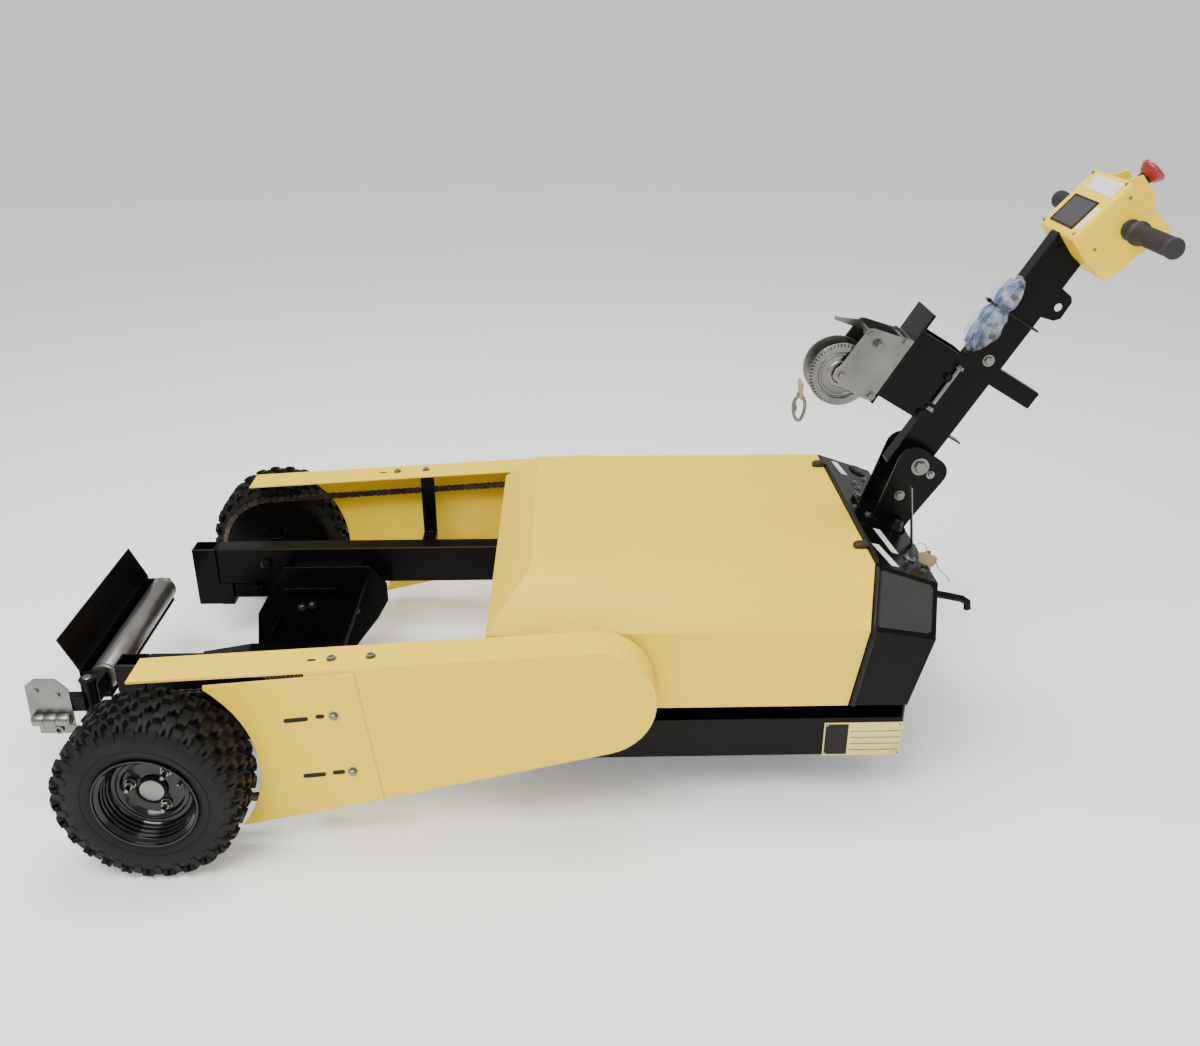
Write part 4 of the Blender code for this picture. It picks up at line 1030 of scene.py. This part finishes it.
def winch():
    centre = on_tiller(DRUM_D, DRUM_O, 0.0)
    for inner, out in ((-0.0412, -1), (0.0132, 1)):
        lathe([(0.0075, 0.0), (0.06, 0.0), (0.0618, 0.0006), (0.0624, 0.0016), (0.0616, 0.0026),
            (0.06, 0.0028), (0.044, 0.0028), (0.0425, 0.004), (0.039, 0.004), (0.0375, 0.0028),
            (0.029, 0.0016), (0.027, 0.0016), (0.025, 0.003), (0.018, 0.0032), (0.016, 0.002),
            (0.0075, 0.002)], centre + Y * inner, Y * out, 72)
    lathe([(0.0075, -0.0415), (0.022, -0.0415), (0.022, 0.0135), (0.0075, 0.0135)], centre, Y, 40)
    tooth = ((0.0, 0.0555), (0.3, 0.0555), (0.45, 0.061), (0.85, 0.061))
    annulus(gear(centre.x, centre.z, 54, tooth), gear(centre.x, centre.z, 54,
        [(share, 0.047) for share, _ in tooth]), -0.0484, -0.0442)
    for i in range(6):
        a = radians(60 * i + 15)
        spot = centre + Vector((0.0515 * cos(a), -0.0484, 0.0515 * sin(a)))
        lathe_open([(0, 0.0), (0.003, 0.0), (0.0026, 0.0009), (0, 0.0011)], spot, (0, -1, 0), 16)
    hardware("winch_gear_drum", "drum", ("winch_drum",))
    bm, last, verts = DRAWING[0], 7 * 40, {}
    for end, y in enumerate((-0.0395, 0.0115)):
        for layer, thick in enumerate((0.0, 0.0016)):
            for i in range(last + 1):
                a = 2 * pi * i / 40
                r = 0.0228 + 0.0021 * (i / 40) + thick
                verts[end, layer, i] = bm.verts.new(
                    Vector((centre.x + r * cos(a), y, centre.z + r * sin(a))))
    quads = []
    for i in range(last):
        j = i + 1
        quads += [((0, 0, i), (0, 0, j), (0, 1, j), (0, 1, i)), ((1, 0, i), (1, 1, i), (1, 1, j),
            (1, 0, j)), ((0, 0, i), (1, 0, i), (1, 0, j), (0, 0, j)),
            ((0, 1, i), (1, 1, i), (1, 1, j), (0, 1, j))]
    quads += [((0, 0, i), (0, 1, i), (1, 1, i), (1, 0, i)) for i in (0, last)]
    for quad in quads:
        bm.faces.new([verts[key] for key in quad])
    piece("winch_strap_roll", "dark_strap", "drum")


def winch_details():
    tiller_prism([(0.16, -0.255), (0.15, -0.306), (0.156, -0.309), (0.163, -0.29), (0.176, -0.262),
        (0.172, -0.25)], 0.004, 0.008)
    tiller_prism([(0.14, -0.236), (0.15, -0.25), (0.166, -0.262), (0.16, -0.24), (0.15, -0.226)],
        -0.049, -0.0465)
    for d, o, low, high, radius in ((0.168, -0.248, -0.056, 0.035, 0.0048),
            (0.19, -0.18, -0.0545, 0.036, 0.0042)):
        rod(on_tiller(d, o, low), on_tiller(d, o, high), radius, steps=16)
    for d, o in ((0.168, -0.248), (0.074, -0.248), (0.19, -0.18), (0.069, -0.176)):
        for y, out in ((-0.0532, -1), (0.0332, 1)):
            bolt(on_tiller(d, o, y), (0, out, 0), 0.0072, 0.0058, 1.3)
    centre = on_tiller(0.159, -0.2235)
    pinion = ((0.0, 0.0105), (0.25, 0.0105), (0.45, 0.015), (0.8, 0.015))
    prism(gear(centre.x, centre.z, 12, pinion), -0.049, -0.0455)
    bolt(centre + Y * -0.064, (0, -1, 0), 0.0075, 0.005, 1.2)
    hardware("winch_pawl_and_bolts", "tiller")


def snap_hook():
    low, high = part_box("winch_hook")
    x = (low[0] + high[0]) / 2 - AXLE
    bottom, top = low[2], high[2]
    ring = [(x + 0.0115 * cos(a) * (1.0 + 0.15 * sin(a)), -0.015, bottom + 0.029 + 0.025 * sin(a))
        for a in angles(40)]
    tube(ring, 0.0034, 12, closed=True)
    lathe([(0.002, -0.004), (0.0065, -0.004), (0.007, 0.0), (0.0065, 0.004), (0.002, 0.004)],
        (x, -0.015, bottom + 0.056), (0, 0, 1), 20)
    tube([(x - 0.01, -0.015, bottom + 0.014), (x - 0.006, -0.0175, bottom + 0.03),
        (x - 0.0095, -0.015, bottom + 0.046)], 0.0022, 10)
    hardware("snap_hook", "tiller", ("winch_hook",))
    box((x - 0.0014, x + 0.0014), (-0.034, 0.004), (bottom + 0.052, top))
    box((x - 0.0022, x + 0.0022), (-0.033, 0.003), (top - 0.018, top - 0.001))
    piece("hook_strap_end", "beige", "tiller", bevel=0.0005)


yoke_hardware()
tiller_hardware()
winch()
winch_details()
snap_hook()


# Control head

HEAD = [Vector((1.646, 0, 1.017)), Vector((1.738, 0, 1.1175)), Vector((1.83, 0, 1.031))]


def head_face():
    """Lower corner, direction and outward normal of the head's front face."""
    a, b = HEAD[:2]
    d = (b - a).normalized()
    return a, d, Vector((-d.z, 0, d.x))


def head_patch(along, across, thick):
    """Thin pad on the head's front face."""
    a, d, out = head_face()
    low = [a + d * u + Y * v + out * 0.0001 for u, v in ((along[0], across[0]),
        (along[1], across[0]), (along[1], across[1]), (along[0], across[1]))]
    solid(low, [p + out * thick for p in low])


def head_details():
    head_patch((0.018, 0.076), (-0.047, 0.052), 0.0016)
    piece("head_window", "glass", "tiller", bevel=0.0008)
    for along, across in (((0.015, 0.019), (-0.05, 0.055)), ((0.075, 0.079), (-0.05, 0.055)),
            ((0.015, 0.079), (-0.05, -0.046)), ((0.015, 0.079), (0.051, 0.055))):
        head_patch(along, across, 0.0024)
    piece("head_window_frame", "moulded", "tiller", bevel=0.0006)
    head_patch((0.096, 0.127), (-0.066, 0.052), 0.0005)
    head_patch((0.02, 0.07), (-0.075, -0.056), 0.0005)
    piece("head_labels", "label", "tiller")
    a, d, out = head_face()
    for u, v in ((0.01, -0.072), (0.01, 0.072), (0.128, -0.072), (0.128, 0.072)):
        bolt(a + d * u + Y * v, out, 0.0036, 0.0024, 1.0)
    for x, z in ((1.69, 0.998), (1.8, 1.028), (1.738, 1.09)):
        for side, _ in SIDES:
            bolt((x, 0.082 * side, z), (0, side, 0), 0.0036, 0.0024, 1.0)
    piece("head_screws", "zinc", "tiller")
    for side, _ in SIDES:
        y0, y1 = sorted((0.0822 * side, 0.0838 * side))
        prism([(1.662, 1.004), (1.69, 1.006), (1.76, 0.972), (1.722, 0.9395), (1.68, 0.974)], y0,
            y1)
    piece("head_side_flaps", "yellow", "tiller", bevel=0.0006)


def grips():
    low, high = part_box("grip_left")
    gx, gz = (low[0] + high[0]) / 2 - AXLE, (low[2] + high[2]) / 2
    for side, word in SIDES:
        inner, tip = 0.0825, 0.25
        profile = [(0.0, inner), (0.019, inner), (0.0195, inner + 0.002), (0.0125, inner + 0.006),
            (0.0118, 0.112), (0.0215, 0.1125), (0.0224, 0.114), (0.0224, 0.1185), (0.0212, 0.1205),
            (0.018, 0.123)]
        y = 0.126
        while y < 0.238:
            profile += [(0.0179, y), (0.0163, y + 0.0007), (0.0163, y + 0.0021),
                (0.0179, y + 0.0028)]
            y += 0.0048
        profile += [(0.018, 0.2405), (0.0188, 0.2425), (0.0188, 0.2475), (0.017, tip - 0.0002),
            (0.0, tip)]
        lathe_open(profile, (gx, 0, gz), Y * side, 40)
        piece("grip_ribbed_" + word, "grip", "tiller", ("grip_" + word,))


def stop_button():
    out = Vector((0.685, 0, 0.7285))
    seat = HEAD[1] + Vector((0.7285, 0, -0.685)) * 0.048
    lathe_open([(0, 0.039), (0.015, 0.039), (0.0182, 0.042), (0.0228, 0.05), (0.0246, 0.0545),
        (0.0248, 0.0575), (0.024, 0.06), (0.0205, 0.0614), (0.012, 0.0608), (0, 0.0604)], seat,
        out, 48)
    u, v, d = frame_of(out)
    for a in angles(10):
        spot = seat + d * 0.052 + (u * cos(a) + v * sin(a)) * 0.0232
        rod(spot, spot + d * 0.006, 0.002, 0.0016, 10, 0.0004)
    piece("stop_mushroom", "red", "tiller", ("stop_button",))
    lathe_open([(0, 0.0003), (0.0205, 0.0003), (0.021, 0.002), (0.0195, 0.005), (0.013, 0.006),
        (0.0128, 0.039), (0, 0.039)], seat, out, 36)
    piece("stop_collar", "moulded", "tiller")


head_details()
grips()
stop_button()


# Strap bag: blue strap folded in a crinkled clear bag, gathered by a tie

TIE_D = 0.334
BAG_SEED, CRINKLE = 7, 0.36
STRAP_SECTION = ((-0.0008, -0.0085), (-0.0008, 0.0085), (0.0008, 0.0085), (0.0008, -0.0085))


def smooth_noise(seed):
    rng = random.Random(seed)
    waves = [(Vector((rng.uniform(-1, 1), rng.uniform(-1, 1),
        rng.uniform(-1, 1))).normalized() * rng.uniform(60, 240), rng.uniform(0, 6.3),
        rng.uniform(0.4, 1.0)) for _ in range(9)]
    return lambda p: sum(w * sin(k.dot(p) + f) for k, f, w in waves) / 4.5


def bag_shell(seed, amount):
    """Lofted bag round the tiller's front: fat at both ends, pinched at the tie."""
    bm, crinkle = DRAWING[0], smooth_noise(seed)
    rings, stations, around = [], 46, 56
    for i in range(stations):
        t = i / (stations - 1)
        d = 0.2345 + 0.168 * t
        end = sin(pi * t) ** 0.45 if 0 < t < 1 else 0.0
        pinch = 1 - 0.42 * exp(-((d - TIE_D) / 0.012) ** 2)
        deep = (0.0285 if t < 0.6 else 0.027) * pinch * end
        wide = (0.041 if t < 0.6 else 0.042) * (1 - (1 - pinch) * 0.75) * end
        ring = []
        for a in angles(around):
            y = -0.0105 + wide * power(sin(a), 0.8)
            o = -0.052 - deep * power(cos(a), 0.8)
            p = on_tiller(d, o, y)
            p += (p - on_tiller(d, -0.052, -0.0105)) * crinkle(p) * amount
            p.y = max(min(p.y, 0.03), -0.051)
            depth = (p - PIVOT).dot(BACK)
            if depth > -0.0512 and p.y > -0.02:
                if p.y + 0.02 < depth + 0.0512:
                    p.y = -0.02
                else:
                    p -= BACK * (depth + 0.0512)
            ring.append(bm.verts.new(p))
        rings.append(ring)
    for a, b in zip(rings, rings[1:]):
        for k in range(around):
            m = (k + 1) % around
            bm.faces.new((a[k], a[m], b[m], b[k]))
    bm.faces.new(list(reversed(rings[0])))
    bm.faces.new(rings[-1])
    bmesh.ops.remove_doubles(bm, verts=bm.verts, dist=0.00005)
    obj = piece("strap_bag_film", "film", "tiller")
    detail = obj.modifiers.new("detail", "SUBSURF")
    detail.levels = detail.render_levels = 1
    return obj


def strap_bag():
    bag = bag_shell(BAG_SEED, CRINKLE)
    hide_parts("strap_bag")
    for k, (y, depth, lean) in enumerate(((-0.03, 0.0545, 0.004), (-0.012, 0.057, -0.003),
            (0.01, 0.056, 0.002), (-0.014, 0.064, -0.004))):
        path = []
        for i in range(24):
            t = i / 23
            d = 0.246 + 0.142 * t
            pinch = exp(-((d - TIE_D) / 0.014) ** 2)
            o = -depth - 0.0085 * sin(pi * t) * (1 - 0.75 * pinch) + 0.001 * sin(17 * t + k)
            path.append((d, max(min(o, -0.0535), -0.0775),
                y * (1 - 0.45 * pinch) + lean * sin(9 * t + k)))
        for start, end in zip(path, path[1:]):
            solid(*([on_tiller(d + shift, o + u, y + v) for u, v in STRAP_SECTION] for (d, o, y),
                shift in ((start, 0.0), (end, 0.0002))))
    piece("strap_folds", "strap", "tiller")
    loop = [on_tiller(TIE_D, -0.0175 - 0.056 * power(cos(a), 0.35), -0.004 + 0.0285 * power(sin(a),
        0.35)) for a in angles(48)]
    tube(loop, 0.0022, 8, closed=True)
    tiller_prism([(0.33, -0.079), (0.338, -0.079), (0.338, -0.0735), (0.33, -0.0735)], -0.012,
        -0.004)
    piece("zip_tie", "moulded", "tiller")


strap_bag()


# Rating plate border

def rating_plate():
    y = -0.37585
    box((1.2085, 1.252), (y - 0.0003, y), (0.105, 0.173))
    for z in (0.156, 0.142, 0.128, 0.114):
        box((1.256, 1.352), (y - 0.0003, y), (z, z + 0.0012))
    piece("plate_panel", "moulded", "chassis")
    for x in (1.211, 1.3495):
        for z in (0.107, 0.171):
            bolt((x, y, z), (0, -1, 0), 0.0022, 0.0016, 1.0)
    piece("plate_rivets", "zinc", "chassis")


rating_plate()


# Floor, light and camera

FLOOR_REACH = 300


def stage_set():
    box((-FLOOR_REACH, FLOOR_REACH), (-FLOOR_REACH, FLOOR_REACH), (-0.02, -0.0002))
    mesh = bpy.data.meshes.new("studio_floor")
    DRAWING[0].to_mesh(mesh)
    floor = bpy.data.objects.new("studio_floor", mesh)
    mesh.materials.append(backdrop_paper("floor_paper", (0.94, 0.94, 0.93), (0.92, 0.92, 0.91)))
    bpy.context.scene.collection.objects.link(floor)


def area_light(name, place, target, size, energy, colour):
    light = bpy.data.lights.new(name, "AREA")
    light.shape = "RECTANGLE"
    light.size, light.size_y = size
    light.energy = energy
    light.color = colour
    obj = bpy.data.objects.new(name, light)
    obj.location = place
    aim = Vector(target) - Vector(place)
    obj.rotation_euler = aim.to_track_quat("-Z", "Y").to_euler()
    bpy.context.scene.collection.objects.link(obj)


def studio():
    stage_set()
    world = bpy.data.worlds.new("studio")
    world.use_nodes = True
    back = world.node_tree.nodes["Background"]
    back.inputs["Color"].default_value = (1.0, 1.0, 1.0, 1.0)
    back.inputs["Strength"].default_value = 0.66
    bpy.context.scene.world = world
    area_light("key", (-1.2, -2.2, 3.6), (0.0, 0.0, 0.3), (2.4, 2.0), 172.0, (1.0, 0.99, 0.97))
    area_light("top", (0.3, 0.6, 3.8), (0.1, 0.0, 0.2), (3.0, 1.4), 100.0, (1.0, 0.99, 0.97))
    area_light("fill", (3.2, -2.6, 1.8), (0.2, 0.0, 0.4), (2.0, 2.0), 18.0, (0.95, 0.97, 1.0))
    lens = bpy.data.cameras.new("camera")
    lens.lens = 34.51
    lens.sensor_width = 36.0
    camera = bpy.data.objects.new("camera", lens)
    camera.location = (-0.0212, -2.1675, 1.4303)
    camera.rotation_euler = (radians(65.04), 0.0, radians(-1.4))
    bpy.context.scene.collection.objects.link(camera)
    bpy.context.scene.camera = camera


studio()
